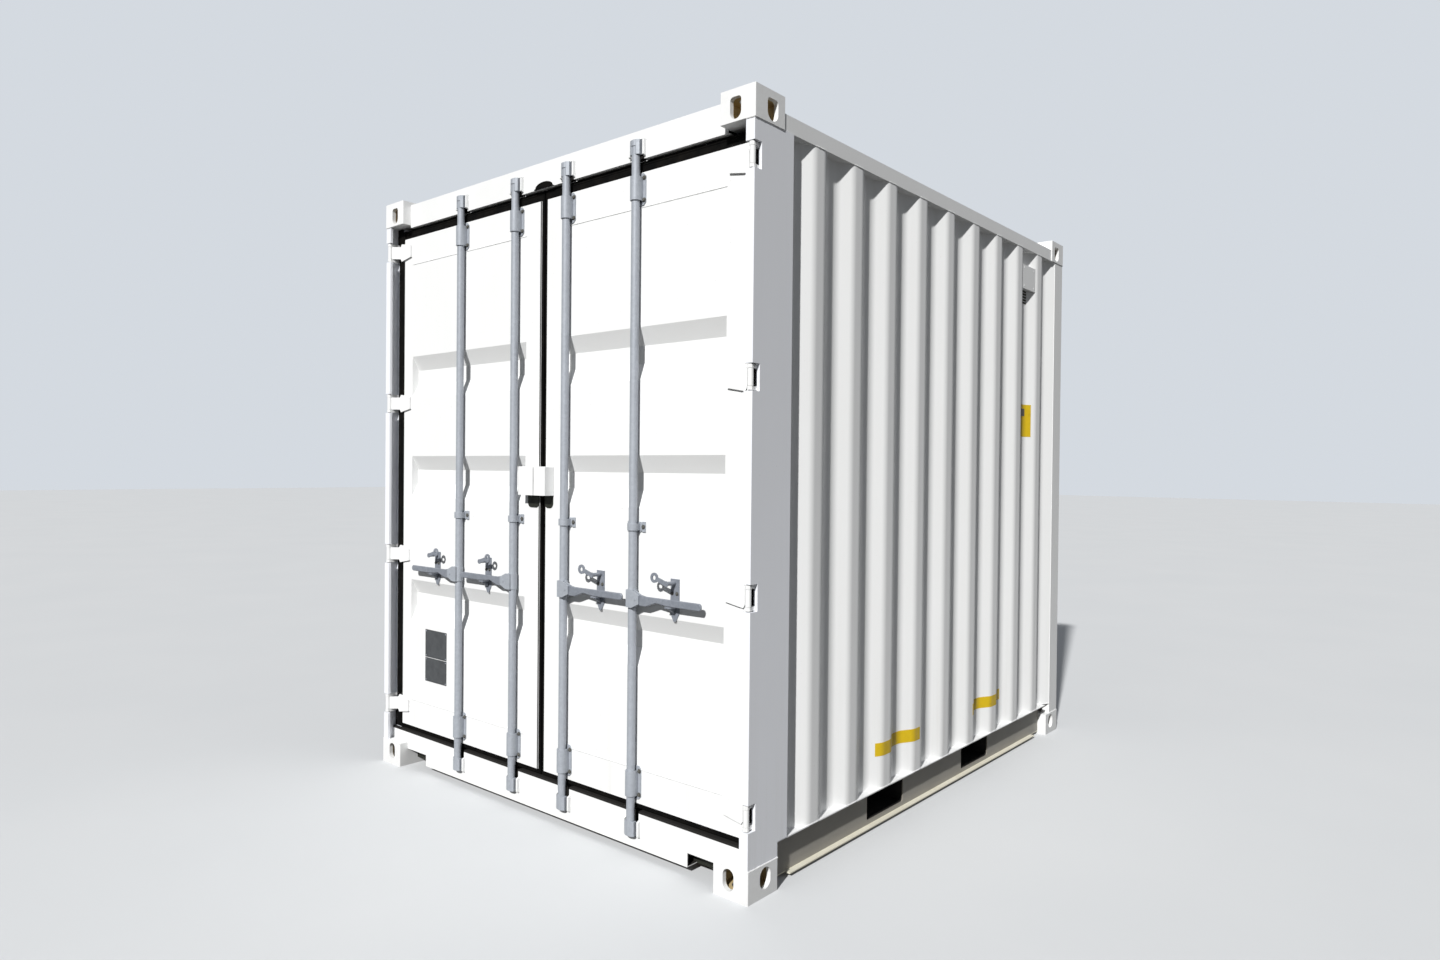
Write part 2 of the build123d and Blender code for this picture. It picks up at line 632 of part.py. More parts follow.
# Cross members: channels across the base, spread between the fork pockets and the end beams
member_start = FORK_CENTRE + FORK_WIDTH / 2
member_room = -BEAM_BACK - member_start
member_count = int(member_room // MEMBER_PITCH)
member_step = member_room / (member_count + 1)
member_places = [MEMBER_INNER] + [member_start + (i + 1) * member_step for i in range(member_count)]
with BuildPart() as cross_members:
    with BuildSketch(Plane.YZ.offset(-BOTTOM_RAIL_X)):
        for centre in [side * y for side in (-1, 1) for y in member_places]:
            with Locations((centre, MEMBER_Z)):
                Rectangle(MEMBER_FLANGE, MEMBER_HEIGHT, align=(Align.CENTER, Align.MIN))
            with Locations((centre - MEMBER_WALL, MEMBER_Z + MEMBER_WALL)):
                Rectangle(
                    MEMBER_FLANGE,
                    MEMBER_HEIGHT - 2 * MEMBER_WALL,
                    align=(Align.CENTER, Align.MIN),
                    mode=Mode.SUBTRACT,
                )
    extrude(amount=2 * BOTTOM_RAIL_X)
save(cross_members.part, "cross_members")

# Fork pockets: two tunnels across the base with a strap under each end
with BuildPart() as fork_pockets:
    with BuildSketch(Plane.YZ.offset(-BOTTOM_RAIL_X)):
        for centre in (-FORK_CENTRE, FORK_CENTRE):
            with Locations((centre, (FORK_BOTTOM + FORK_TOP) / 2)):
                Rectangle(FORK_WIDTH + 2 * FORK_WALL, FORK_TOP - FORK_BOTTOM + 2 * FORK_WALL)
                Rectangle(FORK_WIDTH, FORK_TOP - FORK_BOTTOM, mode=Mode.SUBTRACT)
    extrude(amount=2 * BOTTOM_RAIL_X)
    with BuildSketch(Plane.XY.offset(FORK_BOTTOM - FORK_WALL)):
        with Locations((0, -FORK_CENTRE), (0, FORK_CENTRE)):
            Rectangle(2 * (BOTTOM_RAIL_X - FORK_STRAP), FORK_WIDTH)
    extrude(amount=FORK_WALL, mode=Mode.SUBTRACT)
save(fork_pockets.part, "fork_pockets")

# Floor boards between the sill and the end rail, cut out round the door posts
floor_length = END_RAIL_FRONT - BEAM_BACK
board = (floor_length - (FLOOR_BOARDS - 1) * FLOOR_GAP) / FLOOR_BOARDS
with BuildPart() as floor_boards:
    with BuildSketch(Plane.XY.offset(FLOOR_BOTTOM)):
        with Locations((0, (BEAM_BACK + END_RAIL_FRONT) / 2)):
            with GridLocations(0, board + FLOOR_GAP, 1, FLOOR_BOARDS):
                Rectangle(2 * BOTTOM_RAIL_X, board)
        with Locations((-BOTTOM_RAIL_X, BEAM_BACK), (BOTTOM_RAIL_X, BEAM_BACK)):
            Rectangle(2 * (BOTTOM_RAIL_X - DOORWAY_HALF), 2 * (POST_BACK - BEAM_BACK), mode=Mode.SUBTRACT)
    extrude(amount=FLOOR)
save(floor_boards.part, "floor_boards")

# Side vents: a hood in the trough before the last ridge of each side panel
vent_y = side_ridges[-1] - SIDE_TROUGH / 2
vent_rise = SIDE_DEPTH - VENT_INSET
vent_foot = SIDE_TROUGH / 2 - VENT_GAP
vent_brow = vent_foot + SIDE_SLOPE * vent_rise / SIDE_DEPTH
with BuildPart() as side_vents:
    with BuildSketch(Plane.XY.offset(RAIL_BOTTOM - VENT_DROP - VENT_HEIGHT)):
        with BuildLine():
            Polyline(
                (SIDE_X - SIDE_DEPTH, vent_y - vent_foot),
                (SIDE_X - VENT_INSET, vent_y - vent_brow),
                (SIDE_X - VENT_INSET, vent_y + vent_brow),
                (SIDE_X - SIDE_DEPTH, vent_y + vent_foot),
                close=True,
            )
        make_face()
    extrude(amount=VENT_HEIGHT)
    mirror(about=Plane.YZ)
save(side_vents.part, "side_vents")

# Hinge lugs on the posts, each pair with its pin
lug_inner = HINGE_BARREL_HEIGHT / 2 + HINGE_LUG_GAP
lug_outer = lug_inner + HINGE_LUG
with BuildPart() as hinge_lugs:
    for height in HINGE_HEIGHTS:
        for base in (height - lug_outer, height + lug_inner):
            with BuildSketch(Plane.XY.offset(base)) as lug:
                with Locations((HINGE_X, HINGE_Y)):
                    Rectangle(2 * HINGE_BARREL_RADIUS, 2 * HINGE_BARREL_RADIUS)
                chamfer(lug.vertices(), length=HINGE_LUG_CHAMFER)
                with Locations((FRAME_X - POST_SECTION, POST_SEAT)):
                    Rectangle(
                        FRAME_X - POST_SECTION - HINGE_X + HINGE_BARREL_RADIUS,
                        POST_SEAT - HINGE_Y,
                        align=(Align.MAX, Align.MAX),
                    )
            extrude(amount=HINGE_LUG)
        with BuildSketch(Plane.XY.offset(height - lug_outer)):
            with Locations((HINGE_X, HINGE_Y)):
                Circle(HINGE_PIN_RADIUS)
        extrude(amount=2 * lug_outer)
    mirror(about=Plane.YZ)
save(hinge_lugs.part, "hinge_lugs")

# Door leaf frame: square tubes with drain slots in the foot
with BuildPart() as door_frame:
    with BuildSketch(Plane.XZ.offset(-DOOR_FACE)):
        with Locations((DOOR_CENTRE, DOOR_BOTTOM)):
            Rectangle(DOOR_WIDTH, DOOR_HEIGHT, align=(Align.MIN, Align.MIN))
        with Locations((PANEL_LEFT, DOOR_BOTTOM + DOOR_RAIL)):
            Rectangle(
                PANEL_WIDTH, DOOR_HEIGHT - 2 * DOOR_RAIL, align=(Align.MIN, Align.MIN), mode=Mode.SUBTRACT
            )
    extrude(amount=-DOOR_THICKNESS)
    with BuildSketch(Plane.XZ.offset(-DOOR_FACE - DOOR_SECTION)):
        with Locations((DOOR_CENTRE + DOOR_SECTION, DOOR_BOTTOM + DOOR_SECTION)):
            Rectangle(
                DOOR_WIDTH - 2 * DOOR_SECTION, DOOR_HEIGHT - 2 * DOOR_SECTION, align=(Align.MIN, Align.MIN)
            )
        with Locations((PANEL_LEFT - DOOR_SECTION, DOOR_BOTTOM + DOOR_RAIL - DOOR_SECTION)):
            Rectangle(
                PANEL_WIDTH + 2 * DOOR_SECTION,
                DOOR_HEIGHT - 2 * DOOR_RAIL + 2 * DOOR_SECTION,
                align=(Align.MIN, Align.MIN),
                mode=Mode.SUBTRACT,
            )
    extrude(amount=-(DOOR_THICKNESS - 2 * DOOR_SECTION), mode=Mode.SUBTRACT)
    with BuildSketch(Plane.XY.offset(DOOR_BOTTOM)):
        with Locations(((DOOR_CENTRE + DOOR_EDGE) / 2, (DOOR_FACE + DOOR_BACK) / 2)):
            with GridLocations(DRAIN_SPACING, 0, 2, 1):
                Rectangle(DRAIN_LENGTH, DRAIN_WIDTH)
    extrude(amount=DOOR_SECTION, mode=Mode.SUBTRACT)
save(door_frame.part, "door_frame_right")
save(mirrored(door_frame.part), "door_frame_left")

# Door leaf panel: a sheet with three level folds
top_fold = DOOR_TOP - DOOR_FOLD_FROM_TOP
bottom_fold = DOOR_BOTTOM + DOOR_FOLD_FROM_BOTTOM
middle_fold = (top_fold + bottom_fold) / 2 + DOOR_FOLD_MIDDLE_RISE
door_points = [(DOOR_FACE, DOOR_BOTTOM + DOOR_RAIL)]
for fold_top in (bottom_fold, middle_fold, top_fold):
    fold_foot = fold_top - DOOR_FOLD_FLAT - 2 * DOOR_FOLD_SLOPE
    door_points.append((DOOR_FACE, fold_foot))
    door_points.append((DOOR_FACE + DOOR_FOLD_DEPTH, fold_foot + DOOR_FOLD_SLOPE))
    door_points.append((DOOR_FACE + DOOR_FOLD_DEPTH, fold_top - DOOR_FOLD_SLOPE))
    door_points.append((DOOR_FACE, fold_top))
door_points.append((DOOR_FACE, DOOR_TOP - DOOR_RAIL))
with BuildPart() as door_panel:
    with BuildSketch(Plane.YZ.offset(PANEL_LEFT)):
        with BuildLine():
            Polyline(*door_points)
            offset(amount=SHEET, side=Side.RIGHT, kind=Kind.INTERSECTION)
        make_face()
    extrude(amount=PANEL_WIDTH)
save(door_panel.part, "door_panel_right")
save(mirrored(door_panel.part), "door_panel_left")

# Door gasket: a rubber ring round the leaf
gasket_height = HEADER_BOTTOM - SILL_TOP - 2 * GASKET_GAP
with BuildPart() as door_gasket:
    with BuildSketch(Plane.XZ.offset(-DOOR_FACE - GASKET_INSET)):
        with Locations((GASKET_GAP, SILL_TOP + GASKET_GAP)):
            Rectangle(DOORWAY_HALF - 2 * GASKET_GAP, gasket_height, align=(Align.MIN, Align.MIN))
        with Locations((DOOR_CENTRE, DOOR_BOTTOM)):
            Rectangle(DOOR_WIDTH, DOOR_HEIGHT, align=(Align.MIN, Align.MIN), mode=Mode.SUBTRACT)
    extrude(amount=-GASKET_DEPTH)
save(door_gasket.part, "door_gasket_right")
save(mirrored(door_gasket.part), "door_gasket_left")

# Hinge blades: a strap on the leaf that ramps out to a barrel round the pin
blade_y = DOOR_FACE - HINGE_BLADE / 2
blade_turn = HINGE_X - HINGE_BLADE_RUN
blade_end = DOOR_EDGE - HINGE_BLADE_ON_LEAF
with BuildPart() as hinge_blades:
    for height in HINGE_HEIGHTS:
        with BuildSketch(Plane.XY.offset(height - HINGE_BLADE_HEIGHT / 2)):
            with BuildLine():
                Polyline((HINGE_X, HINGE_Y), (blade_turn, blade_y), (blade_end, blade_y))
                offset(amount=HINGE_BLADE / 2, side=Side.BOTH, kind=Kind.INTERSECTION)
            make_face()
        extrude(amount=HINGE_BLADE_HEIGHT)
    with BuildSketch(Plane.XZ.offset(-DOOR_BACK)):
        for height in HINGE_HEIGHTS:
            with BuildLine():
                Polyline(
                    (HINGE_X + HINGE_BARREL_RADIUS, height - HINGE_BARREL_HEIGHT / 2),
                    (HINGE_X + HINGE_BARREL_RADIUS, height + HINGE_BARREL_HEIGHT / 2),
                    (blade_turn, height + HINGE_BARREL_HEIGHT / 2),
                    (blade_turn - HINGE_BLADE_FLARE, height + HINGE_BLADE_HEIGHT / 2),
                    (blade_end, height + HINGE_BLADE_END / 2),
                    (blade_end, height - HINGE_BLADE_END / 2),
                    (blade_turn - HINGE_BLADE_FLARE, height - HINGE_BLADE_HEIGHT / 2),
                    (blade_turn, height - HINGE_BARREL_HEIGHT / 2),
                    close=True,
                )
            make_face()
    extrude(amount=DOOR_BACK - DOOR_PLANE, mode=Mode.INTERSECT)
    for height in HINGE_HEIGHTS:
        with BuildSketch(Plane.XY.offset(height - HINGE_BARREL_HEIGHT / 2)):
            with Locations((HINGE_X, HINGE_Y)):
                Circle(HINGE_BARREL_RADIUS)
        extrude(amount=HINGE_BARREL_HEIGHT)
        with BuildSketch(Plane.XY.offset(height - HINGE_BARREL_HEIGHT / 2)):
            with Locations((HINGE_X, HINGE_Y)):
                Circle(HINGE_PIN_RADIUS + PIN_CLEARANCE)
        extrude(amount=HINGE_BARREL_HEIGHT, mode=Mode.SUBTRACT)
save(hinge_blades.part, "hinge_blades_right")
save(mirrored(hinge_blades.part), "hinge_blades_left")

# Bar brackets and guides on the leaf: a cornered plate with a saddle round the bar
strap_inner = BAR_RADIUS + STRAP_GAP
strap_outer = strap_inner + STRAP
saddle_depth = DOOR_FACE - BRACKET_PLATE - BAR_Y
bracket_kinds = (
    (DOOR_TOP - BRACKET_FROM_TOP, BRACKET_TOP_HEIGHT, BRACKET_SHOULDER),
    (DOOR_BOTTOM + BRACKET_FROM_BOTTOM, BRACKET_BOTTOM_HEIGHT, BRACKET_SHOULDER),
    (GUIDE_Z, GUIDE_HEIGHT, GUIDE_SHOULDER),
)
with BuildPart() as bar_brackets:
    for middle, height, shoulder in bracket_kinds:
        with BuildSketch(Plane.XZ.offset(-DOOR_FACE)) as plate:
            with Locations(*[(bar_x, middle) for bar_x in BAR_POSITIONS]):
                Rectangle(BRACKET_WIDTH, height)
            chamfer(plate.vertices(), length=BRACKET_CORNER)
        extrude(amount=BRACKET_PLATE)
        with BuildSketch(Plane.XY.offset(middle - height / 2 + shoulder)):
            with Locations(*[(bar_x, BAR_Y) for bar_x in BAR_POSITIONS]):
                Circle(strap_outer)
                Rectangle(2 * strap_outer, saddle_depth, align=(Align.CENTER, Align.MIN))
                Circle(strap_inner, mode=Mode.SUBTRACT)
                Rectangle(
                    2 * strap_inner, saddle_depth, align=(Align.CENTER, Align.MIN), mode=Mode.SUBTRACT
                )
        extrude(amount=height - 2 * shoulder)
save(bar_brackets.part, "bar_brackets_right")
save(mirrored(bar_brackets.part), "bar_brackets_left")

# Handle rests: a pointed plate on the leaf with a webbed shelf for the handle and a pin for the catch
shelf_top = HANDLE_Z - HANDLE_GRIP - REST_GAP
rest_front = DOOR_FACE - REST_PLATE
with BuildPart() as handle_rests:
    for rest_x in [x + REST_OFFSET for x in BAR_POSITIONS]:
        with BuildSketch(Plane.XZ.offset(-DOOR_FACE)):
            with BuildLine():
                Polyline(
                    (rest_x - REST_WIDTH / 2, REST_TOP),
                    (rest_x + REST_WIDTH / 2, REST_TOP),
                    (rest_x + REST_WIDTH / 2, REST_SHOULDER),
                    (rest_x + REST_FOOT_WIDTH / 2, REST_FOOT),
                    (rest_x - REST_FOOT_WIDTH / 2, REST_FOOT),
                    (rest_x - REST_WIDTH / 2, REST_SHOULDER),
                    close=True,
                )
            make_face()
        extrude(amount=REST_PLATE)
        with BuildSketch(Plane.YZ.offset(rest_x - REST_WEB / 2)):
            with BuildLine():
                Polyline(
                    (rest_front, shelf_top),
                    (HANDLE_FRONT, shelf_top),
                    (HANDLE_FRONT, shelf_top - REST_SHELF),
                    (rest_front, REST_SHOULDER),
                    close=True,
                )
            make_face()
        extrude(amount=REST_WEB)
        with BuildSketch(Plane.XZ.offset(-rest_front)):
            with Locations((rest_x, shelf_top)):
                Rectangle(REST_SHELF_WIDTH, REST_SHELF, align=(Align.CENTER, Align.MAX))
        extrude(amount=rest_front - HANDLE_FRONT)
        with BuildSketch(Plane.XZ.offset(-rest_front)):
            with Locations((rest_x, CATCH_PIVOT_Z)):
                Circle(CATCH_BOSS_RADIUS)
        extrude(amount=rest_front - CATCH_BACK - REST_GAP)
        with BuildSketch(Plane.XZ.offset(-CATCH_BACK - REST_GAP)):
            with Locations((rest_x, CATCH_PIVOT_Z)):
                Circle(CATCH_PIN_RADIUS)
        extrude(amount=CATCH_BACK + REST_GAP - CATCH_FRONT)
save(handle_rests.part, "handle_rests_right")
save(mirrored(handle_rests.part), "handle_rests_left")


def lock_half(x0, x1):
    """One half of the lock box: a steel hood open at its foot."""
    front = DOOR_PLANE + LOCK_BOX_FRONT_SETBACK
    depth = DOOR_FACE - front
    height = LOCK_BOX_TOP - LOCK_BOX_BOTTOM
    with BuildPart() as half:
        with BuildSketch(Plane.XY.offset(LOCK_BOX_BOTTOM)):
            with Locations((x0, front)):
                Rectangle(x1 - x0, depth, align=(Align.MIN, Align.MIN))
        extrude(amount=height)
        with BuildSketch(Plane.XY.offset(LOCK_BOX_BOTTOM)):
            with Locations((x0 + LOCK_BOX_WALL, front + LOCK_BOX_WALL)):
                Rectangle(x1 - x0 - 2 * LOCK_BOX_WALL, depth - 2 * LOCK_BOX_WALL, align=(Align.MIN, Align.MIN))
        extrude(amount=height - LOCK_BOX_WALL, mode=Mode.SUBTRACT)
    return half.part


# Lock box, in two halves either side of the gap between the doors
save(lock_half(LOCK_BOX_SPLIT, LOCK_BOX_RIGHT), "lock_box_right")
save(lock_half(LOCK_BOX_LEFT, -LOCK_BOX_SPLIT), "lock_box_left")

# Data plate: two thin blank plates on the left leaf
with BuildPart() as data_plate:
    with BuildSketch(Plane.XZ.offset(-DOOR_FACE)):
        for z0, z1 in ((PLATE_BOTTOM, PLATE_SPLIT - PLATE_GAP), (PLATE_SPLIT + PLATE_GAP, PLATE_TOP)):
            with Locations((PLATE_FROM_EDGE - DOOR_EDGE, z0)):
                Rectangle(PLATE_WIDTH, z1 - z0, align=(Align.MIN, Align.MIN))
    extrude(amount=PLATE_THICKNESS)
save(data_plate.part, "data_plate")


def handle_hub(bar_x):
    """The forged fork on a bar: a collar with two cheeks, tapered towards their ends, and the pin."""
    front = HANDLE_FRONT - HUB_GAP - HUB_CHEEK
    back = HANDLE_BACK + HUB_GAP + HUB_CHEEK
    reach = bar_x + HUB_REACH
    with BuildPart() as hub:
        with BuildSketch(Plane.XY.offset(HANDLE_Z - HUB_HEIGHT / 2)):
            with Locations((bar_x, BAR_Y)):
                Circle(HUB_RADIUS)
            with Locations((bar_x - HUB_SIDE, front)):
                Rectangle(HUB_SIDE + BAR_RADIUS, BAR_Y - front, align=(Align.MIN, Align.MIN))
            with Locations((bar_x, front), (bar_x, back - HUB_CHEEK)):
                Rectangle(HUB_REACH, HUB_CHEEK, align=(Align.MIN, Align.MIN))
        extrude(amount=HUB_HEIGHT)
        with BuildSketch(Plane.XZ.offset(-BAR_Y - HUB_REACH)):
            with BuildLine():
                Polyline(
                    (bar_x - HUB_RADIUS, HANDLE_Z + HUB_HEIGHT / 2),
                    (bar_x + HUB_RADIUS, HANDLE_Z + HUB_HEIGHT / 2),
                    (reach, HANDLE_Z + HUB_END_HEIGHT / 2),
                    (reach, HANDLE_Z - HUB_END_HEIGHT / 2),
                    (bar_x + HUB_RADIUS, HANDLE_Z - HUB_HEIGHT / 2),
                    (bar_x - HUB_RADIUS, HANDLE_Z - HUB_HEIGHT / 2),
                    close=True,
                )
            make_face()
        extrude(amount=2 * HUB_REACH, mode=Mode.INTERSECT)
        with BuildSketch(Plane.XZ.offset(-back - HANDLE_PIN_HEAD)):
            with Locations((bar_x + HANDLE_PIVOT, HANDLE_Z)):
                Circle(HANDLE_PIN_RADIUS)
        extrude(amount=back - front + 2 * HANDLE_PIN_HEAD)
    return hub.part


def locking_bar(bar_x):
    """A round bar with a cam at each end and the fork for its handle."""
    hub = handle_hub(bar_x)
    with BuildPart() as bar:
        with BuildSketch(Plane.XY.offset(BAR_BOTTOM)):
            with Locations((bar_x, BAR_Y)):
                Circle(BAR_RADIUS)
        extrude(amount=BAR_TOP - BAR_BOTTOM)
        for z0 in (BAR_BOTTOM, BAR_TOP - CAM_HEIGHT):
            with BuildSketch(Plane.XY.offset(z0)):
                with BuildLine():
                    Polyline(
                        (bar_x - CAM_REACH, BAR_Y + CAM_BACK),
                        (bar_x - CAM_REACH, BAR_Y - CAM_BACK),
                        (bar_x - CAM_NOSE_WIDTH, BAR_Y - CAM_NOSE),
                        (bar_x + CAM_NOSE_WIDTH, BAR_Y - CAM_NOSE),
                        (bar_x + CAM_REACH, BAR_Y - CAM_BACK),
                        (bar_x + CAM_REACH, BAR_Y + CAM_BACK),
                        close=True,
                    )
                make_face()
            extrude(amount=CAM_HEIGHT)
        add(hub)
    return bar.part


def bar_handle(bar_x):
    """A forged lever on the fork of its bar: deep root, thin waist and long grip."""
    pivot = bar_x + HANDLE_PIVOT
    tip = bar_x + HANDLE_REACH
    with BuildPart() as handle:
        with BuildSketch(Plane.XZ.offset(-HANDLE_BACK)) as outline:
            with BuildLine():
                Polyline(
                    (pivot, HANDLE_Z + HANDLE_ROOT),
                    (pivot + HANDLE_ROOT_RUN, HANDLE_Z + HANDLE_TOP),
                    (tip, HANDLE_Z + HANDLE_TOP),
                    (tip, HANDLE_Z - HANDLE_GRIP),
                    (pivot + HANDLE_GRIP_RUN, HANDLE_Z - HANDLE_GRIP),
                    (pivot + HANDLE_WAIST_RUN, HANDLE_Z - HANDLE_WAIST),
                    (pivot + HANDLE_ROOT_RUN, HANDLE_Z - HANDLE_ROOT),
                    (pivot, HANDLE_Z - HANDLE_ROOT),
                    close=True,
                )
            make_face()
            fillet(outline.vertices().sort_by(Axis.X)[-2:], radius=HANDLE_TIP_RADIUS)
            with Locations((pivot, HANDLE_Z)):
                Circle(HANDLE_EYE)
        extrude(amount=HANDLE_THICKNESS)
        chamfer(handle.faces().filter_by(Axis.Y).edges(), length=HANDLE_CHAMFER)
        with BuildSketch(Plane.XZ.offset(-HANDLE_BACK)):
            with Locations((pivot, HANDLE_Z)):
                Circle(HANDLE_PIN_RADIUS + PIN_CLEARANCE)
        extrude(amount=HANDLE_THICKNESS, mode=Mode.SUBTRACT)
    return handle.part


def handle_catch(bar_x):
    """A swinging arm with a seal ring, raised off the handle."""
    pivot = bar_x + REST_OFFSET
    ring_x = pivot + CATCH_LENGTH * cos(radians(CATCH_ANGLE))
    ring_z = CATCH_PIVOT_Z + CATCH_LENGTH * sin(radians(CATCH_ANGLE))
    with BuildPart() as catch:
        with BuildSketch(Plane.XZ.offset(-CATCH_BACK)):
            with Locations(((pivot + ring_x) / 2, (CATCH_PIVOT_Z + ring_z) / 2)):
                Rectangle(CATCH_LENGTH, CATCH_ARM, rotation=CATCH_ANGLE)
            with Locations((ring_x, ring_z)):
                RegularPolygon(CATCH_RING, CATCH_SIDES)
                RegularPolygon(CATCH_HOLE, CATCH_SIDES, mode=Mode.SUBTRACT)
            with Locations((pivot, CATCH_PIVOT_Z)):
                RegularPolygon(CATCH_EYE, CATCH_SIDES)
                Circle(CATCH_PIN_RADIUS + PIN_CLEARANCE, mode=Mode.SUBTRACT)
        extrude(amount=CATCH_THICKNESS)
    return catch.part


for bar_x, place in zip(BAR_POSITIONS, ("inner", "outer")):
    for piece, name in (
        (locking_bar(bar_x), "locking_bar"),
        (bar_handle(bar_x), "bar_handle"),
        (handle_catch(bar_x), "handle_catch"),
    ):
        save(piece, f"{name}_right_{place}")
        save(mirrored(piece), f"{name}_left_{place}")
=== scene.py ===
import math
import random

import bmesh
import bpy
from mathutils import Matrix, Vector


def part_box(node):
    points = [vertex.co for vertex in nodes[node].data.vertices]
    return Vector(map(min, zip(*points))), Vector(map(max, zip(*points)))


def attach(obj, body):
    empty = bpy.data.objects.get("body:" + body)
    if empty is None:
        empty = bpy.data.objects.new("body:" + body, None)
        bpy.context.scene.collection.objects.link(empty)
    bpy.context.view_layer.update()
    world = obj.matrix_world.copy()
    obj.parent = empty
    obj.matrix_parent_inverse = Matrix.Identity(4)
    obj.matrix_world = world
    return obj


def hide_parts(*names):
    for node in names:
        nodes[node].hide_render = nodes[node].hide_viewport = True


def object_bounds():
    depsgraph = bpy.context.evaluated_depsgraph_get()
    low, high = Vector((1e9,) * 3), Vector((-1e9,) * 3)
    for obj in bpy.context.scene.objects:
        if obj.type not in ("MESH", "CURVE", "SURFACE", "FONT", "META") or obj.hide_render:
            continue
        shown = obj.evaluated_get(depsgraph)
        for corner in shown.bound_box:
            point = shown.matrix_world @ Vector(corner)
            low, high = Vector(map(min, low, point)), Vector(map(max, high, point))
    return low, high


# Ten-foot high-cube shipping container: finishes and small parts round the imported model, in metres.
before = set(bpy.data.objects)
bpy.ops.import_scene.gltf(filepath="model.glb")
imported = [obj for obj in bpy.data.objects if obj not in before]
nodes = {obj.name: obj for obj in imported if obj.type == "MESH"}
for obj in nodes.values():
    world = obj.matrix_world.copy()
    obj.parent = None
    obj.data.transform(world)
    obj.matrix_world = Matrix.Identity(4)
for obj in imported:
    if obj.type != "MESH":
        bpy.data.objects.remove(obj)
cad_low, cad_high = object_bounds()
random.seed(11)

HALF_X = cad_high.x
HALF_Y = cad_high.y
TOP = cad_high.z
SIDES = (("right", 1), ("left", -1))


# Camera, solved from the corners of the container in the photograph
CAMERA_PLACE = Vector((3.2029, -4.0180, 1.5406))
CAMERA_AZIMUTH = math.radians(40.165)
CAMERA_ELEVATION = math.radians(0.654)
CAMERA_ROLL = math.radians(0.553)
CAMERA_LENS = 22.88
SENSOR_WIDTH = 36.0
CLIP_START = 0.05
CLIP_END = 200.0


def make_camera():
    """A camera at the photograph's place, turned by its azimuth, elevation and roll."""
    data = bpy.data.cameras.new("camera")
    data.lens = CAMERA_LENS
    data.sensor_width = SENSOR_WIDTH
    data.clip_start = CLIP_START
    data.clip_end = CLIP_END
    camera = bpy.data.objects.new("camera", data)
    bpy.context.scene.collection.objects.link(camera)
    level = math.cos(CAMERA_ELEVATION)
    back = Vector((
        math.sin(CAMERA_AZIMUTH) * level,
        -math.cos(CAMERA_AZIMUTH) * level,
        math.sin(CAMERA_ELEVATION),
    ))
    right = Vector((0, 0, 1)).cross(back).normalized()
    up = back.cross(right)
    turned_right = right * math.cos(CAMERA_ROLL) + up * math.sin(CAMERA_ROLL)
    turned_up = up * math.cos(CAMERA_ROLL) - right * math.sin(CAMERA_ROLL)
    turn = Matrix((turned_right, turned_up, back)).transposed().to_4x4()
    camera.matrix_world = Matrix.Translation(CAMERA_PLACE) @ turn
    bpy.context.scene.camera = camera


# Light: a key high up at the door end, and a pale surround that is darker below the horizon
TO_KEY = Vector((0.250, -0.775, 0.580))
KEY_STRENGTH = 4.8
KEY_ANGLE = math.radians(1.6)
KEY_COLOR = (1.0, 0.993, 0.978)
ABOVE = (0.210, 0.222, 0.240)
BELOW = (0.085, 0.082, 0.076)
BACKDROP = (0.66, 0.70, 0.75)
HORIZON_BLEND = 0.25


def make_light():
    """The key, and a surround that lights by height and shows as one plain colour."""
    sun = bpy.data.lights.new("key", "SUN")
    sun.energy = KEY_STRENGTH
    sun.angle = KEY_ANGLE
    sun.color = KEY_COLOR
    key = bpy.data.objects.new("key", sun)
    bpy.context.scene.collection.objects.link(key)
    key.rotation_mode = "QUATERNION"
    key.rotation_quaternion = TO_KEY.to_track_quat("Z", "Y")
    world = bpy.data.worlds.new("surround")
    world.use_nodes = True
    bpy.context.scene.world = world
    tree = world.node_tree
    tree.nodes.clear()
    direction = tree.nodes.new("ShaderNodeTexCoord")
    split = tree.nodes.new("ShaderNodeSeparateXYZ")
    height = tree.nodes.new("ShaderNodeMapRange")
    height.inputs["From Min"].default_value = -HORIZON_BLEND
    height.inputs["From Max"].default_value = HORIZON_BLEND
    blend = tree.nodes.new("ShaderNodeMix")
    blend.data_type = "RGBA"
    blend.inputs[6].default_value = (*BELOW, 1)
    blend.inputs[7].default_value = (*ABOVE, 1)
    light = tree.nodes.new("ShaderNodeBackground")
    seen = tree.nodes.new("ShaderNodeBackground")
    seen.inputs["Color"].default_value = (*BACKDROP, 1)
    path = tree.nodes.new("ShaderNodeLightPath")
    mix = tree.nodes.new("ShaderNodeMixShader")
    out = tree.nodes.new("ShaderNodeOutputWorld")
    tree.links.new(direction.outputs["Generated"], split.inputs[0])
    tree.links.new(split.outputs["Z"], height.inputs["Value"])
    tree.links.new(height.outputs[0], blend.inputs[0])
    tree.links.new(blend.outputs[2], light.inputs["Color"])
    tree.links.new(path.outputs["Is Camera Ray"], mix.inputs[0])
    tree.links.new(light.outputs[0], mix.inputs[1])
    tree.links.new(seen.outputs[0], mix.inputs[2])
    tree.links.new(mix.outputs[0], out.inputs["Surface"])
    view = bpy.context.scene.view_settings
    view.view_transform = "Standard"
    view.look = "None"


# Usual depth of a surface's grain, and the scale of sprayed paint's orange peel
FINE = 0.0003
ORANGE_PEEL = 420.0


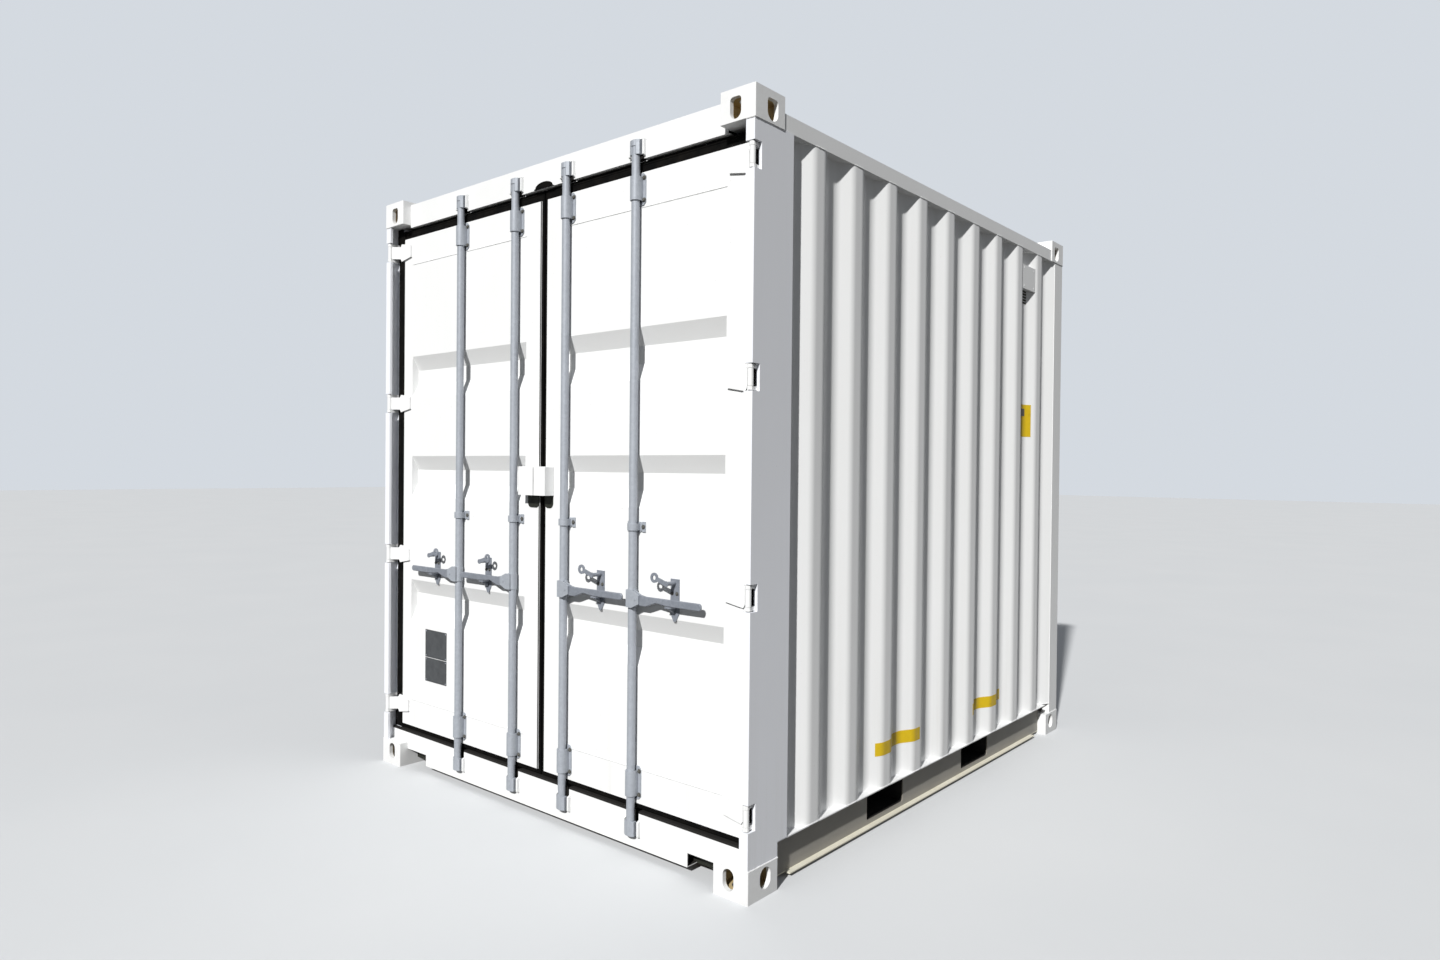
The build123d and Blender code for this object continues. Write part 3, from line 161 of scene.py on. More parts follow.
class Finish:
    """A procedural material and short ways to add its nodes."""

    def __init__(self, name, specular=0.5):
        self.material = bpy.data.materials.new(name)
        self.material.use_nodes = True
        self.tree = self.material.node_tree
        self.shader = self.tree.nodes["Principled BSDF"]
        self.shader.inputs["Specular IOR Level"].default_value = specular
        self.coordinates = self.add("ShaderNodeTexCoord").outputs["Object"]

    def add(self, kind):
        return self.tree.nodes.new(kind)

    def link(self, source, target):
        self.tree.links.new(source, target)

    def put(self, socket, value):
        """Links a socket to another one, or sets its number or colour."""
        if isinstance(value, bpy.types.NodeSocket):
            self.link(value, socket)
        elif isinstance(value, (tuple, list)) and len(value) == 3 and socket.type == "RGBA":
            socket.default_value = (*value, 1)
        else:
            socket.default_value = value

    def math(self, operation, a, b=0.0, clamp=False):
        node = self.add("ShaderNodeMath")
        node.operation = operation
        node.use_clamp = clamp
        for socket, value in zip(node.inputs, (a, b)):
            self.put(socket, value)
        return node.outputs[0]

    def stretched(self, scale):
        """Object coordinates, scaled by a different amount each way."""
        node = self.add("ShaderNodeMapping")
        self.link(self.coordinates, node.inputs["Vector"])
        node.inputs["Scale"].default_value = scale
        return node.outputs[0]

    def noise(self, scale, detail=3.0, roughness=0.5, source=None):
        node = self.add("ShaderNodeTexNoise")
        self.link(source or self.coordinates, node.inputs["Vector"])
        node.inputs["Scale"].default_value = scale
        node.inputs["Detail"].default_value = detail
        node.inputs["Roughness"].default_value = roughness
        return node.outputs["Fac"]

    def cells(self, scale):
        """One random number for each cell of a crystal-like pattern."""
        node = self.add("ShaderNodeTexVoronoi")
        self.link(self.coordinates, node.inputs["Vector"])
        node.inputs["Scale"].default_value = scale
        split = self.add("ShaderNodeSeparateColor")
        self.link(node.outputs["Color"], split.inputs[0])
        return split.outputs[0]

    def spread(self, value, low, high, to_low=0.0, to_high=1.0):
        """Maps low..high onto to_low..to_high, clamped."""
        node = self.add("ShaderNodeMapRange")
        self.put(node.inputs["Value"], value)
        for name, number in (("From Min", low), ("From Max", high), ("To Min", to_low), ("To Max", to_high)):
            node.inputs[name].default_value = number
        return node.outputs[0]

    def mix(self, share, a, b):
        node = self.add("ShaderNodeMix")
        node.data_type = "RGBA"
        self.put(node.inputs[0], share)
        self.put(node.inputs[6], a)
        self.put(node.inputs[7], b)
        return node.outputs[2]

    def axis(self, letter):
        node = self.add("ShaderNodeSeparateXYZ")
        self.link(self.coordinates, node.inputs[0])
        return node.outputs[letter]

    def inside(self, value, low, high, edge):
        """One where value lies between low and high, else nothing."""
        above = self.spread(value, low - edge, low + edge)
        below = self.spread(value, high - edge, high + edge, 1.0, 0.0)
        return self.math("MULTIPLY", above, below)

    def dusty_paint(self, share, scale=3.0, detail=5.0, roughness=0.6):
        """White paint with clouds of up to that share of dust."""
        clouds = self.spread(self.noise(scale, detail, roughness), 0.45, 0.8, 0.0, share)
        return self.mix(clouds, PAINT, PAINT_DUST)

    def varied(self, scale, low, high):
        """A value that wanders between low and high."""
        return self.spread(self.noise(scale), 0.3, 0.7, low, high)

    def bump(self, height, distance, strength, onto=None):
        node = self.add("ShaderNodeBump")
        node.inputs["Strength"].default_value = strength
        node.inputs["Distance"].default_value = distance
        self.link(height, node.inputs["Height"])
        if onto is not None:
            self.link(onto, node.inputs["Normal"])
        return node.outputs[0]

    def grain(self, scale, strength, detail=3.0, depth=FINE):
        """A bump of fine noise."""
        return self.bump(self.noise(scale, detail), depth, strength)

    def peel(self):
        """The orange peel of sprayed paint."""
        return self.grain(ORANGE_PEEL, 0.25, 2.0)

    def surface(self, color, roughness, metallic, normal):
        self.put(self.shader.inputs["Base Color"], color)
        self.put(self.shader.inputs["Roughness"], roughness)
        self.put(self.shader.inputs["Metallic"], metallic)
        self.link(normal, self.shader.inputs["Normal"])
        return self.material


# Colours as linear red, green and blue; the two of a pair are mixed by a pattern
PAINT = (0.785, 0.790, 0.790)
PAINT_DUST = (0.56, 0.545, 0.51)
# Bluer copy of the paint for the door posts: painted sky-lit shade
POST_SKY_SHADE_TINT = (0.795, 0.81, 0.85)
GRIME = (0.20, 0.18, 0.15)
MILL_SCALE = ((0.33, 0.25, 0.12), (0.62, 0.49, 0.28))
# Near black: painted shade inside the header and sill tubes
TUBE_SHADE = ((0.004, 0.004, 0.004), (0.014, 0.012, 0.010))
# Warm dark grey: painted shade on the bottom rail's web under its flange
WEB_SHADE = ((0.17, 0.155, 0.13), (0.27, 0.25, 0.215))
CREAM = ((0.62, 0.59, 0.47), (0.74, 0.72, 0.62))
ZINC_LIGHT = (0.385, 0.41, 0.45)
ZINC_DARK = (0.305, 0.328, 0.365)
WORN_ZINC_LIGHT = (0.27, 0.29, 0.33)
WORN_ZINC_DARK = (0.17, 0.185, 0.215)
BLACK_RUBBER = ((0.003, 0.003, 0.003), (0.008, 0.007, 0.006))
WAX = ((0.008, 0.008, 0.009), (0.024, 0.022, 0.02))
PLY_GRAIN = ((0.16, 0.085, 0.042), (0.36, 0.22, 0.12))
PLY_WEAR = (0.12, 0.09, 0.06)
DARK_PLATE = ((0.045, 0.048, 0.052), (0.09, 0.095, 0.10))
YELLOW_FILM = ((0.56, 0.38, 0.008), (0.66, 0.46, 0.012))
FILM_DIRT = (0.20, 0.12, 0.02)
BOLT_STEEL = ((0.06, 0.06, 0.055), (0.16, 0.155, 0.14))
# Near-black olive: painted shade in recesses and under hoods
SHADE_OLIVE = ((0.012, 0.014, 0.010), (0.03, 0.032, 0.025))
PALE_FLOOR = ((0.60, 0.615, 0.63), (0.64, 0.65, 0.66))


def paint_finish(name, tint=PAINT, dust=0.3, sheet_wave=0.0):
    """White container paint: orange peel, faint run-down dirt and a little dust towards the foot."""
    f = Finish(name, 0.4)
    patches = f.noise(1.7, 4.0)
    streaks = f.noise(1.0, 5.0, 0.6, f.stretched((30.0, 30.0, 1.1)))
    foot = f.spread(f.axis("Z"), 0.0, 0.8, 1.0, 0.12)
    worn = f.math("MULTIPLY", f.spread(streaks, 0.50, 0.80, 0.0, dust), foot)
    color = f.mix(f.spread(patches, 0.35, 0.7, 0.0, 0.06), tint, PAINT_DUST)
    color = f.mix(worn, color, PAINT_DUST)
    color = f.mix(f.spread(f.noise(120.0, 2.0), 0.72, 0.80, 0.0, 0.18), color, GRIME)
    relief = f.peel()
    if sheet_wave:
        relief = f.bump(f.noise(2.2, 2.0), sheet_wave, 0.4, relief)
    rough = f.spread(patches, 0.3, 0.7, 0.42, 0.52)
    return f.surface(color, rough, 0.0, relief)


# Hollow of a corner casting, measured in from its outer faces and up from the foot of its hollow
CASTING_WALL = 0.020
CASTING_REACH_X = 0.150
CASTING_REACH_Y = 0.166
CASTING_PLATE = 0.028
CASTING_BACK = 0.008
CASTING_HEIGHT = 0.118
CASTING_EDGE = 0.001


def casting_finish():
    """Cast steel, painted outside and left in brown mill scale inside the hollow."""
    f = Finish("casting_paint", 0.4)
    inward = f.math("SUBTRACT", HALF_X, f.math("ABSOLUTE", f.axis("X")))
    along = f.math("SUBTRACT", HALF_Y, f.math("ABSOLUTE", f.axis("Y")))
    high = f.axis("Z")
    edge = CASTING_EDGE
    lower = f.inside(high, CASTING_PLATE - edge, CASTING_HEIGHT - CASTING_BACK + edge, edge)
    roof = TOP - CASTING_PLATE + edge
    upper = f.inside(high, TOP - CASTING_HEIGHT + CASTING_BACK - edge, roof, edge)
    hollow = f.inside(inward, CASTING_WALL - edge, CASTING_REACH_X + edge, edge)
    hollow = f.math("MULTIPLY", hollow, f.inside(along, CASTING_WALL - edge, CASTING_REACH_Y + edge, edge))
    hollow = f.math("MULTIPLY", hollow, f.math("ADD", lower, upper, clamp=True))
    scale_color = f.mix(f.noise(55.0, 4.0, 0.6), *MILL_SCALE)
    color = f.mix(hollow, f.dusty_paint(0.22, 9.0, 4.0, 0.5), scale_color)
    cast = f.bump(f.noise(75.0, 5.0, 0.65), 0.0012, 0.5)
    return f.surface(color, f.spread(hollow, 0.0, 1.0, 0.5, 0.9), 0.0, cast)


# Header and sill: the wall of the pressed tube, whose inside is painted shade, and the height of the black
# band of painted shade on the sill's top edge under the rubber
TUBE_WALL = 0.0035
TUBE_BLEND = 0.0003
SILL_SHADE_BAND = 0.009
SILL_SHADE_BLEND = 0.0006
PAST_TOP = 0.01


def beam_paint_and_shade(name, node, shade_band_height=0.0):
    """White paint outside and near-black painted shade inside a cross beam, with a black band of painted
    shade along its top edge under the rubber.
    """
    low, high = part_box(node)
    f = Finish(name, 0.35)
    up = f.axis("Z")
    tube = f.inside(f.axis("Y"), low.y + TUBE_WALL, high.y - TUBE_WALL, TUBE_BLEND)
    tube = f.math("MULTIPLY", tube, f.inside(up, low.z + TUBE_WALL, high.z - TUBE_WALL, TUBE_BLEND))
    if shade_band_height:
        # The sill's top edge under the rubber is painted black as shade of the gap below the door
        pressed = f.inside(up, high.z - shade_band_height, high.z + PAST_TOP, SILL_SHADE_BLEND)
        tube = f.math("ADD", tube, pressed, clamp=True)
    # The inside of the tube is painted near black as shade
    bare = f.mix(f.noise(40.0, 4.0), *TUBE_SHADE)
    color = f.mix(tube, f.dusty_paint(0.16), bare)
    return f.surface(color, f.spread(tube, 0.0, 1.0, 0.48, 0.9), 0.0, f.peel())


# Bottom side rail: how far its web is set back, where the web's painted shade begins under the flange, and
# the lip's top
WEB_BACK = (0.040, 0.044)
WEB_TOP = (0.006, 0.003)
LIP_TOP = (0.005, 0.006)


def rail_paint_and_shade():
    """Bottom side rail: painted flange, a dull web set back below it and darkened as painted shade under the
    flange, and a cream lip.
    """
    low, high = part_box("bottom_side_rails")
    f = Finish("rail_paint_shaded", 0.3)
    inward = f.math("SUBTRACT", high.x, f.math("ABSOLUTE", f.axis("X")))
    up = f.axis("Z")
    below = f.spread(up, high.z - WEB_TOP[0], high.z - WEB_TOP[1], 1.0, 0.0)
    web = f.math("MULTIPLY", f.spread(inward, *WEB_BACK), below)
    lip = f.spread(up, low.z + LIP_TOP[0], low.z + LIP_TOP[1], 1.0, 0.0)
    # The web's dark grey is painted shade under the flange
    dirt = f.mix(f.noise(6.0, 5.0, 0.6), *WEB_SHADE)
    cream = f.mix(f.noise(9.0, 4.0), *CREAM)
    color = f.mix(lip, f.mix(web, f.dusty_paint(0.2), dirt), cream)
    return f.surface(color, 0.55, 0.0, f.grain(300.0, 0.3))


def zinc_finish(name, light, dark, marks=0.35):
    """Dull hot-dip zinc with a faint spangle and darker handling marks."""
    f = Finish(name, 0.4)
    color = f.mix(f.spread(f.cells(95.0), 0.0, 1.0, 0.25, 0.75), dark, light)
    cloud = f.spread(f.noise(7.0, 4.0, 0.6), 0.35, 0.75, 0.0, marks)
    color = f.mix(cloud, color, dark)
    return f.surface(color, f.varied(24.0, 0.45, 0.6), 0.15, f.grain(240.0, 0.3))


def rubber_finish():
    """Matt black rubber."""
    f = Finish("gasket_black", 0.05)
    color = f.mix(f.spread(f.noise(18.0, 4.0), 0.4, 0.75), *BLACK_RUBBER)
    return f.surface(color, f.varied(60.0, 0.75, 0.9), 0.0, f.grain(500.0, 0.4))


def undercoat_finish():
    """Black underbody wax on the members and pockets below the floor."""
    f = Finish("undercoat", 0.2)
    color = f.mix(f.noise(9.0, 5.0, 0.6), *WAX)
    return f.surface(color, f.varied(30.0, 0.6, 0.9), 0.0, f.grain(60.0, 0.5, 4.0, 0.0010))


def plywood_finish():
    """Varnished floor boards with their grain across the container and worn patches."""
    f = Finish("floor_plywood")
    grain = f.noise(1.0, 8.0, 0.7, f.stretched((5.0, 90.0, 5.0)))
    color = f.mix(grain, *PLY_GRAIN)
    color = f.mix(f.spread(f.noise(3.0, 5.0), 0.5, 0.8, 0.0, 0.5), color, PLY_WEAR)
    return f.surface(color, f.spread(grain, 0.2, 0.8, 0.45, 0.65), 0.0, f.bump(grain, 0.0006, 0.5))


def plate_finish():
    """The dark bare plate on the left door."""
    f = Finish("plate_dark", 0.3)
    color = f.mix(f.noise(40.0, 4.0), *DARK_PLATE)
    return f.surface(color, f.varied(12.0, 0.4, 0.6), 0.2, f.grain(200.0, 0.4))


def tape_finish():
    """Yellow marking film, slightly worn and dirty."""
    f = Finish("marking_yellow", 0.35)
    color = f.mix(f.noise(60.0, 4.0), *YELLOW_FILM)
    color = f.mix(f.spread(f.noise(22.0, 5.0, 0.65), 0.58, 0.75, 0.0, 0.4), color, FILM_DIRT)
    return f.surface(color, f.varied(30.0, 0.4, 0.6), 0.0, f.grain(300.0, 0.3, depth=0.0002))


def dark_finish(name, pair):
    """Dark blotched metal; with the olive pair it is painted shade."""
    f = Finish(name, 0.3)
    color = f.mix(f.noise(70.0, 4.0, 0.6), *pair)
    return f.surface(color, f.varied(40.0, 0.5, 0.75), 0.3, f.grain(260.0, 0.4))


def floor_finish():
    """The plain pale floor that the container stands on."""
    f = Finish("floor_pale")
    color = f.mix(f.noise(0.8, 3.0), *PALE_FLOOR)
    return f.surface(color, 0.85, 0.0, f.grain(40.0, 0.2, 2.0, 0.001))


FLOOR_SIZE = 120.0


def make_floor():
    bpy.ops.mesh.primitive_plane_add(size=FLOOR_SIZE, location=(0, 0, 0))
    floor = bpy.context.object
    floor.name = "floor"
    floor.data.materials.append(floor_finish())
    floor.visible_diffuse = False


ZINC = zinc_finish("zinc", ZINC_LIGHT, ZINC_DARK)
GEAR_ZINC = zinc_finish("zinc_worn", WORN_ZINC_LIGHT, WORN_ZINC_DARK, 0.5)
BOLT = dark_finish("bolt_steel", BOLT_STEEL)
FRAME_PAINT = paint_finish("frame_paint", dust=0.4)
SHEET_PAINT = paint_finish("sheet_paint", dust=0.35, sheet_wave=0.003)
DOOR_PAINT = paint_finish("door_paint", dust=0.25, sheet_wave=0.0015)
# The posts' paint is a bluer copy of the white: painted sky-lit shade
POST_SHADE_PAINT = paint_finish("post_paint_sky_shade", POST_SKY_SHADE_TINT, dust=0.3)
RUBBER = rubber_finish()
YELLOW = tape_finish()
SILL_PAINT_AND_SHADE = beam_paint_and_shade("sill_paint_shaded", "door_sill", SILL_SHADE_BAND)
# Near-black material for painted shade: below the vent hoods, inside and below the lock box, and behind the
# sill's notches
SHADE_DARK = dark_finish("painted_shade_dark", SHADE_OLIVE)


def dress_nodes():
    """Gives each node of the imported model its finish."""
    undercoat = undercoat_finish()
    by_start = (
        ("corner_casting", casting_finish()),
        ("door_gasket", RUBBER),
        ("floor_boards", plywood_finish()),
        ("data_plate", plate_finish()),
        ("door_header", beam_paint_and_shade("header_paint_shaded", "door_header")),
        ("door_sill", SILL_PAINT_AND_SHADE),
        ("bottom_side_rails", rail_paint_and_shade()),
        ("fork_pockets", undercoat),
        ("cross_members", undercoat),
        ("locking_bar", ZINC),
        ("bar_handle", GEAR_ZINC),
        ("handle_catch", GEAR_ZINC),
        ("bar_brackets", ZINC),
        ("handle_rests", GEAR_ZINC),
        ("door_post", POST_SHADE_PAINT),
        ("door_frame", DOOR_PAINT),
        ("door_panel", DOOR_PAINT),
        ("side_panel", SHEET_PAINT),
        ("end_panel", SHEET_PAINT),
        ("roof_panel", SHEET_PAINT),
    )
    for name, node in nodes.items():
        finish = FRAME_PAINT
        for start, chosen in by_start:
            if name.startswith(start):
                finish = chosen
        node.data.materials.clear()
        node.data.materials.append(finish)


def piece(name, mesh, body, finish):
    """Turns finished mesh work into a piece that rides on a body."""
    bmesh.ops.recalc_face_normals(mesh, faces=mesh.faces)
    data = bpy.data.meshes.new(name)
    mesh.to_mesh(data)
    mesh.free()
    data.materials.append(finish)
    made = bpy.data.objects.new(name, data)
    bpy.context.scene.collection.objects.link(made)
    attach(made, body)
    return made


def square_to(axis):
    """Two directions square to an axis."""
    axis = axis.normalized()
    start = Vector((0, 0, 1)) if abs(axis.z) < 0.9 else Vector((1, 0, 0))
    first = start.cross(axis).normalized()
    return first, axis.cross(first)


def bridge(mesh, one, other):
    """Faces between two rings that have the same number of points."""
    for k in range(len(one)):
        following = (k + 1) % len(one)
        mesh.faces.new((one[k], one[following], other[following], other[k]))


def turned(mesh, place, axis, rings, sides, twist=0.0):
    """A stack of rings (radius, height) along an axis, closed at its end."""
    first, second = square_to(axis)
    axis = axis.normalized()
    last = None
    for radius, height in rings:
        ring = []
        for i in range(sides):
            angle = twist + 2 * math.pi * i / sides
            spoke = first * math.cos(angle) + second * math.sin(angle)
            ring.append(mesh.verts.new(place + spoke * radius + axis * height))
        if last:
            bridge(mesh, last, ring)
        last = ring
    mesh.faces.new(last)


# Washers of the bolts, and how many sides the round heads have
WASHER = 0.0016
WASHER_REACH = 1.35
WASHER_SIDES = 16
RIVET_SIDES = 10


def bolt(mesh, place, axis, radius, height):
    """A washer and a hexagon head with a chamfered top."""
    reach = radius * WASHER_REACH
    turned(mesh, place, axis, [(reach, 0.0), (reach, WASHER), (radius * 0.9, WASHER)], WASHER_SIDES)
    turn = random.uniform(0.0, math.pi / 3)
    head = [(radius, WASHER), (radius, height * 0.8), (radius * 0.86, height)]
    turned(mesh, place, axis, head, 6, turn)


def rivet(mesh, place, axis, radius):
    """A low domed head."""
    dome = [(radius * math.cos(a), radius * 0.55 * math.sin(a)) for a in (0.0, 0.45, 0.9, 1.3)]
    turned(mesh, place, axis, dome, RIVET_SIDES)


BEAD_SIDES = 6


def bead(mesh, points, radius, step, closed=False):
    """A weld bead: an uneven six-sided tube along straight runs."""
    route = []
    ends = points + [points[0]] if closed else points
    for a, b in zip(ends, ends[1:]):
        count = max(1, round((b - a).length / step))
        route += [a.lerp(b, i / count) for i in range(count)]
    if not closed:
        route.append(ends[-1])
    rings = []
    total = len(route)
    for i, spot in enumerate(route):
        before = route[i - 1] if i or closed else spot
        after = route[(i + 1) % total] if i + 1 < total or closed else spot
        first, second = square_to(after - before)
        width = radius * random.uniform(0.82, 1.18)
        ring = []
        for k in range(BEAD_SIDES):
            angle = 2 * math.pi * k / BEAD_SIDES
            ring.append(mesh.verts.new(spot + (first * math.cos(angle) + second * math.sin(angle)) * width))
        rings.append(ring)
    pairs = list(zip(rings, rings[1:]))
    if closed:
        pairs.append((rings[-1], rings[0]))
    for one, other in pairs:
        bridge(mesh, one, other)
    if not closed:
        mesh.faces.new(rings[0])
        mesh.faces.new(rings[-1])


# Bevels of films on a face, of thin strips and of small thick parts
FILM_BEVEL = 0.0003
STRIP_BEVEL = 0.0008
PART_BEVEL = 0.0015


def block(mesh, low, high, edge):
    """A bar with bevelled edges between two corners."""
    made = bmesh.ops.create_cube(mesh, size=1.0)["verts"]
    size = high - low
    for vert in made:
        for i in range(3):
            vert.co[i] = low[i] + (vert.co[i] + 0.5) * size[i]
    edges = list({e for vert in made for e in vert.link_edges})
    bmesh.ops.bevel(mesh, geom=edges, offset=edge, segments=2, affect="EDGES", profile=0.5)


def side_block(mesh, side, x, y, z, edge):
    """A block on one side of the middle: x is given as the distances outwards, y and z as they are."""
    across = sorted((side * x[0], side * x[1]))
    block(mesh, Vector((across[0], y[0], z[0])), Vector((across[1], y[1], z[1])), edge)


# Shortest run of a line that counts, and the limit of the widening at its corners
SHORTEST = 1e-6
LEAST_SLOPE = 0.4


def band(mesh, line, z0, z1, rise, side):
    """An upright strip of even thickness on a line of (along, out) points."""
    outer = []
    for i, (y, x) in enumerate(line):
        before = line[max(i - 1, 0)]
        after = line[min(i + 1, len(line) - 1)]
        slopes = []
        for a, b in ((before, (y, x)), ((y, x), after)):
            run = Vector((b[0] - a[0], b[1] - a[1]))
            if run.length > SHORTEST:
                run.normalize()
                slopes.append(Vector((-run.y, run.x)))
        normal = sum(slopes, Vector((0, 0))).normalized()
        reach = rise / max(normal.dot(slopes[0]), LEAST_SLOPE)
        outer.append((y + normal.x * reach, x + normal.y * reach))
    columns = []
    for (y, x), (oy, ox) in zip(line, outer):
        columns.append([
            mesh.verts.new((side * x, y, z0)), mesh.verts.new((side * ox, oy, z0)),
            mesh.verts.new((side * ox, oy, z1)), mesh.verts.new((side * x, y, z1)),
        ])
    for one, other in zip(columns, columns[1:]):
        bridge(mesh, one, other)
    mesh.faces.new(columns[0])
    mesh.faces.new(columns[-1])


# Folded side sheets: depth of the folds, thickness, the smooth curve of each fold, and how near a point
# of the solid is to the sheet's outer surface and to its upper edge
FOLD_DEPTH = 0.038
SHEET = 0.002
FOLD_RADIUS = 0.070
FOLD_STEPS = 6
FOLD_SHARE = 0.45
ON_SHEET = 0.0004
NEAR_TOP = 0.001


def sheet_line():
    """The outer surface of the folded side sheet as (along, out) points."""
    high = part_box("side_panel_right")[1]
    levels = (high.x, high.x - FOLD_DEPTH)
    found = set()
    for vert in nodes["side_panel_right"].data.vertices:
        for level in levels:
            if abs(vert.co.x - level) < ON_SHEET and vert.co.z > high.z - NEAR_TOP:
                found.add((round(vert.co.y, 4), round(level, 4)))
    return sorted(found)


def rounded(line):
    """The same line with each fold drawn as a smooth curve."""
    points = [Vector(spot) for spot in line]
    out = [points[0]]
    for before, corner, after in zip(points, points[1:], points[2:]):
        turn = (corner - before).angle(after - corner)
        reach = min(
            FOLD_RADIUS * math.tan(turn / 2),
            FOLD_SHARE * (corner - before).length,
            FOLD_SHARE * (after - corner).length,
        )
        start = corner + (before - corner).normalized() * reach
        end = corner + (after - corner).normalized() * reach
        for i in range(FOLD_STEPS + 1):
            t = i / FOLD_STEPS
            out.append(start * (1 - t) ** 2 + corner * 2 * t * (1 - t) + end * t ** 2)
    out.append(points[-1])
    return [tuple(spot) for spot in out]


def cut_line(line, start, end):
    """The part of a line between two places along it."""
    out = []
    for (y0, x0), (y1, x1) in zip(line, line[1:]):
        if y1 <= start or y0 >= end or y1 - y0 < SHORTEST:
            continue
        for place in (max(y0, start), min(y1, end)):
            spot = (place, x0 + (x1 - x0) * (place - y0) / (y1 - y0))
            if not out or abs(out[-1][0] - spot[0]) > SHORTEST:
                out.append(spot)
    return out


def add_side_sheets(line):
    """The folded side sheets with their folds rounded as pressed."""
    for name, side in SIDES:
        low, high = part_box(f"side_panel_{name}")
        sheet = bmesh.new()
        band(sheet, line, low.z, high.z, -SHEET, side)
        made = piece(f"folded_sheet_{name}", sheet, "box", SHEET_PAINT)
        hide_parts(f"side_panel_{name}")


# Door leaf and its gear, as in the solids
door_low, door_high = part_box("door_frame_right")
panel_low, panel_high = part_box("door_panel_right")
FACE = door_low.y
LEAF_INNER = min(abs(door_low.x), abs(door_high.x))
LEAF_EDGE = 1.128
OFF_LEAF = 0.0002
PLATE = 0.005
BARS = (0.175, 0.595)
BAR_LINE = -1.462
BRACKET_TOP = door_high.z - 0.068
BRACKET_FOOT = door_low.z + 0.085
GUIDE = 1.310
HINGES = 4
HINGE_FIRST = door_low.z + 0.101
HINGE_LAST = door_high.z - 0.066

# Bolts of the gear as (radius, height), and their distances from the bars, guides and rests
BRACKET_BOLT = (0.0068, 0.0062)
REST_BOLT = (0.0055, 0.0052)
BRACKET_FLANK = 0.0285
BRACKET_RISES = ((BRACKET_TOP, 0.044), (BRACKET_FOOT, 0.047))
GUIDE_FLANK = 0.0405
GUIDE_EAR = (0.031, 0.050)
GUIDE_EAR_HALF = 0.021
REST_INSET = 0.022
REST_FLANK = 0.0125
REST_HEIGHT = 1.062


def add_gear_bolts():
    """Bolts through the brackets, guides and rests of each leaf, and the ears of the guides."""
    to_front = Vector((0, -1, 0))
    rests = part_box("handle_rests_right")
    for name, side in SIDES:
        heads = bmesh.new()
        for bar in BARS:
            for flank in (-1, 1):
                for middle, rise in BRACKET_RISES:
                    for z in (middle - rise, middle + rise):
                        place = Vector((side * (bar + flank * BRACKET_FLANK), FACE - PLATE, z))
                        bolt(heads, place, to_front, *BRACKET_BOLT)
                place = Vector((side * (bar + flank * GUIDE_FLANK), FACE - PLATE, GUIDE))
                bolt(heads, place, to_front, *BRACKET_BOLT)
        piece(f"bracket_bolts_{name}", heads, f"door_{name}", BOLT)
        ears = bmesh.new()
        for bar in BARS:
            for flank in (-1, 1):
                reach = [bar + flank * edge for edge in GUIDE_EAR]
                height = (GUIDE - GUIDE_EAR_HALF, GUIDE + GUIDE_EAR_HALF)
                side_block(ears, side, reach, (FACE - PLATE, FACE - OFF_LEAF), height, PART_BEVEL)
        piece(f"guide_ears_{name}", ears, f"door_{name}", ZINC)
        heads = bmesh.new()
        for middle in (rests[0].x + REST_INSET, rests[1].x - REST_INSET):
            for flank in (-REST_FLANK, REST_FLANK):
                place = Vector((side * (middle + flank), FACE - PLATE, REST_HEIGHT))
                bolt(heads, place, to_front, *REST_BOLT)
        piece(f"rest_bolts_{name}", heads, f"door_{name}", BOLT)


# Rivets: radius, and distance in from the edges of the plates that they hold
PLATE_RIVET = 0.0032
PLATE_INSET = 0.008
PLATE_SPLIT = 0.579
PLATE_SPLIT_HALF = 0.0015
VENT_RIVET = 0.004
VENT_INSET_Y = 0.022
VENT_INSET_Z = 0.016


def add_rivets():
    """Rivets round the two halves of the dark plate and at the corners of the vents."""
    heads = bmesh.new()
    low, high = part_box("data_plate")
    near_split = PLATE_SPLIT_HALF + PLATE_INSET
    for z in (low.z + PLATE_INSET, PLATE_SPLIT - near_split, PLATE_SPLIT + near_split, high.z - PLATE_INSET):
        for x in (low.x + PLATE_INSET, high.x - PLATE_INSET):
            rivet(heads, Vector((x, low.y, z)), Vector((0, -1, 0)), PLATE_RIVET)
    piece("plate_rivets", heads, "door_left", ZINC)
    heads = bmesh.new()
    low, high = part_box("side_vents")
    for side in (-1, 1):
        for y in (low.y + VENT_INSET_Y, high.y - VENT_INSET_Y):
            for z in (low.z + VENT_INSET_Z, high.z - VENT_INSET_Z):
                rivet(heads, Vector((side * high.x, y, z)), Vector((side, 0, 0)), VENT_RIVET)
    piece("vent_rivets", heads, "box", FRAME_PAINT)


# Hinge pins: how far the pin's line is in from the lugs' faces, half a knuckle's height, and the cap's shape
PIN_INSET = 0.011
KNUCKLE_HALF = 0.0455
PIN_CAP = ((0.0078, 0.0), (0.0078, 0.0018), (0.0058, 0.0032), (0.002, 0.0038))
PIN_SIDES = 12


def add_pin_caps():
    """Domed ends of the hinge pins, above and below their lugs."""
    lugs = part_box("hinge_lugs")
    x = lugs[1].x - PIN_INSET
    y = lugs[0].y + PIN_INSET
    caps = bmesh.new()
    step = (HINGE_LAST - HINGE_FIRST) / (HINGES - 1)
    for side in (-1, 1):
        for i in range(HINGES):
            middle = HINGE_FIRST + i * step
            for way in (-1, 1):
                place = Vector((side * x, y, middle + way * KNUCKLE_HALF))
                turned(caps, place, Vector((0, 0, way)), PIN_CAP, PIN_SIDES)
    piece("hinge_pin_caps", caps, "box", BOLT)


# Weld beads as (radius, step along the bead)
FRAME_WELD = (0.0034, 0.007)
RAIL_WELD = (0.003, 0.007)
SHEET_WELD = (0.0026, 0.008)
POST_WELD = (0.0026, 0.010)
LEAF_WELD = (0.0024, 0.010)
POST_FRONT = 0.038
END_POST_WIDTH = 0.134
END_POST_DEPTH = 0.114


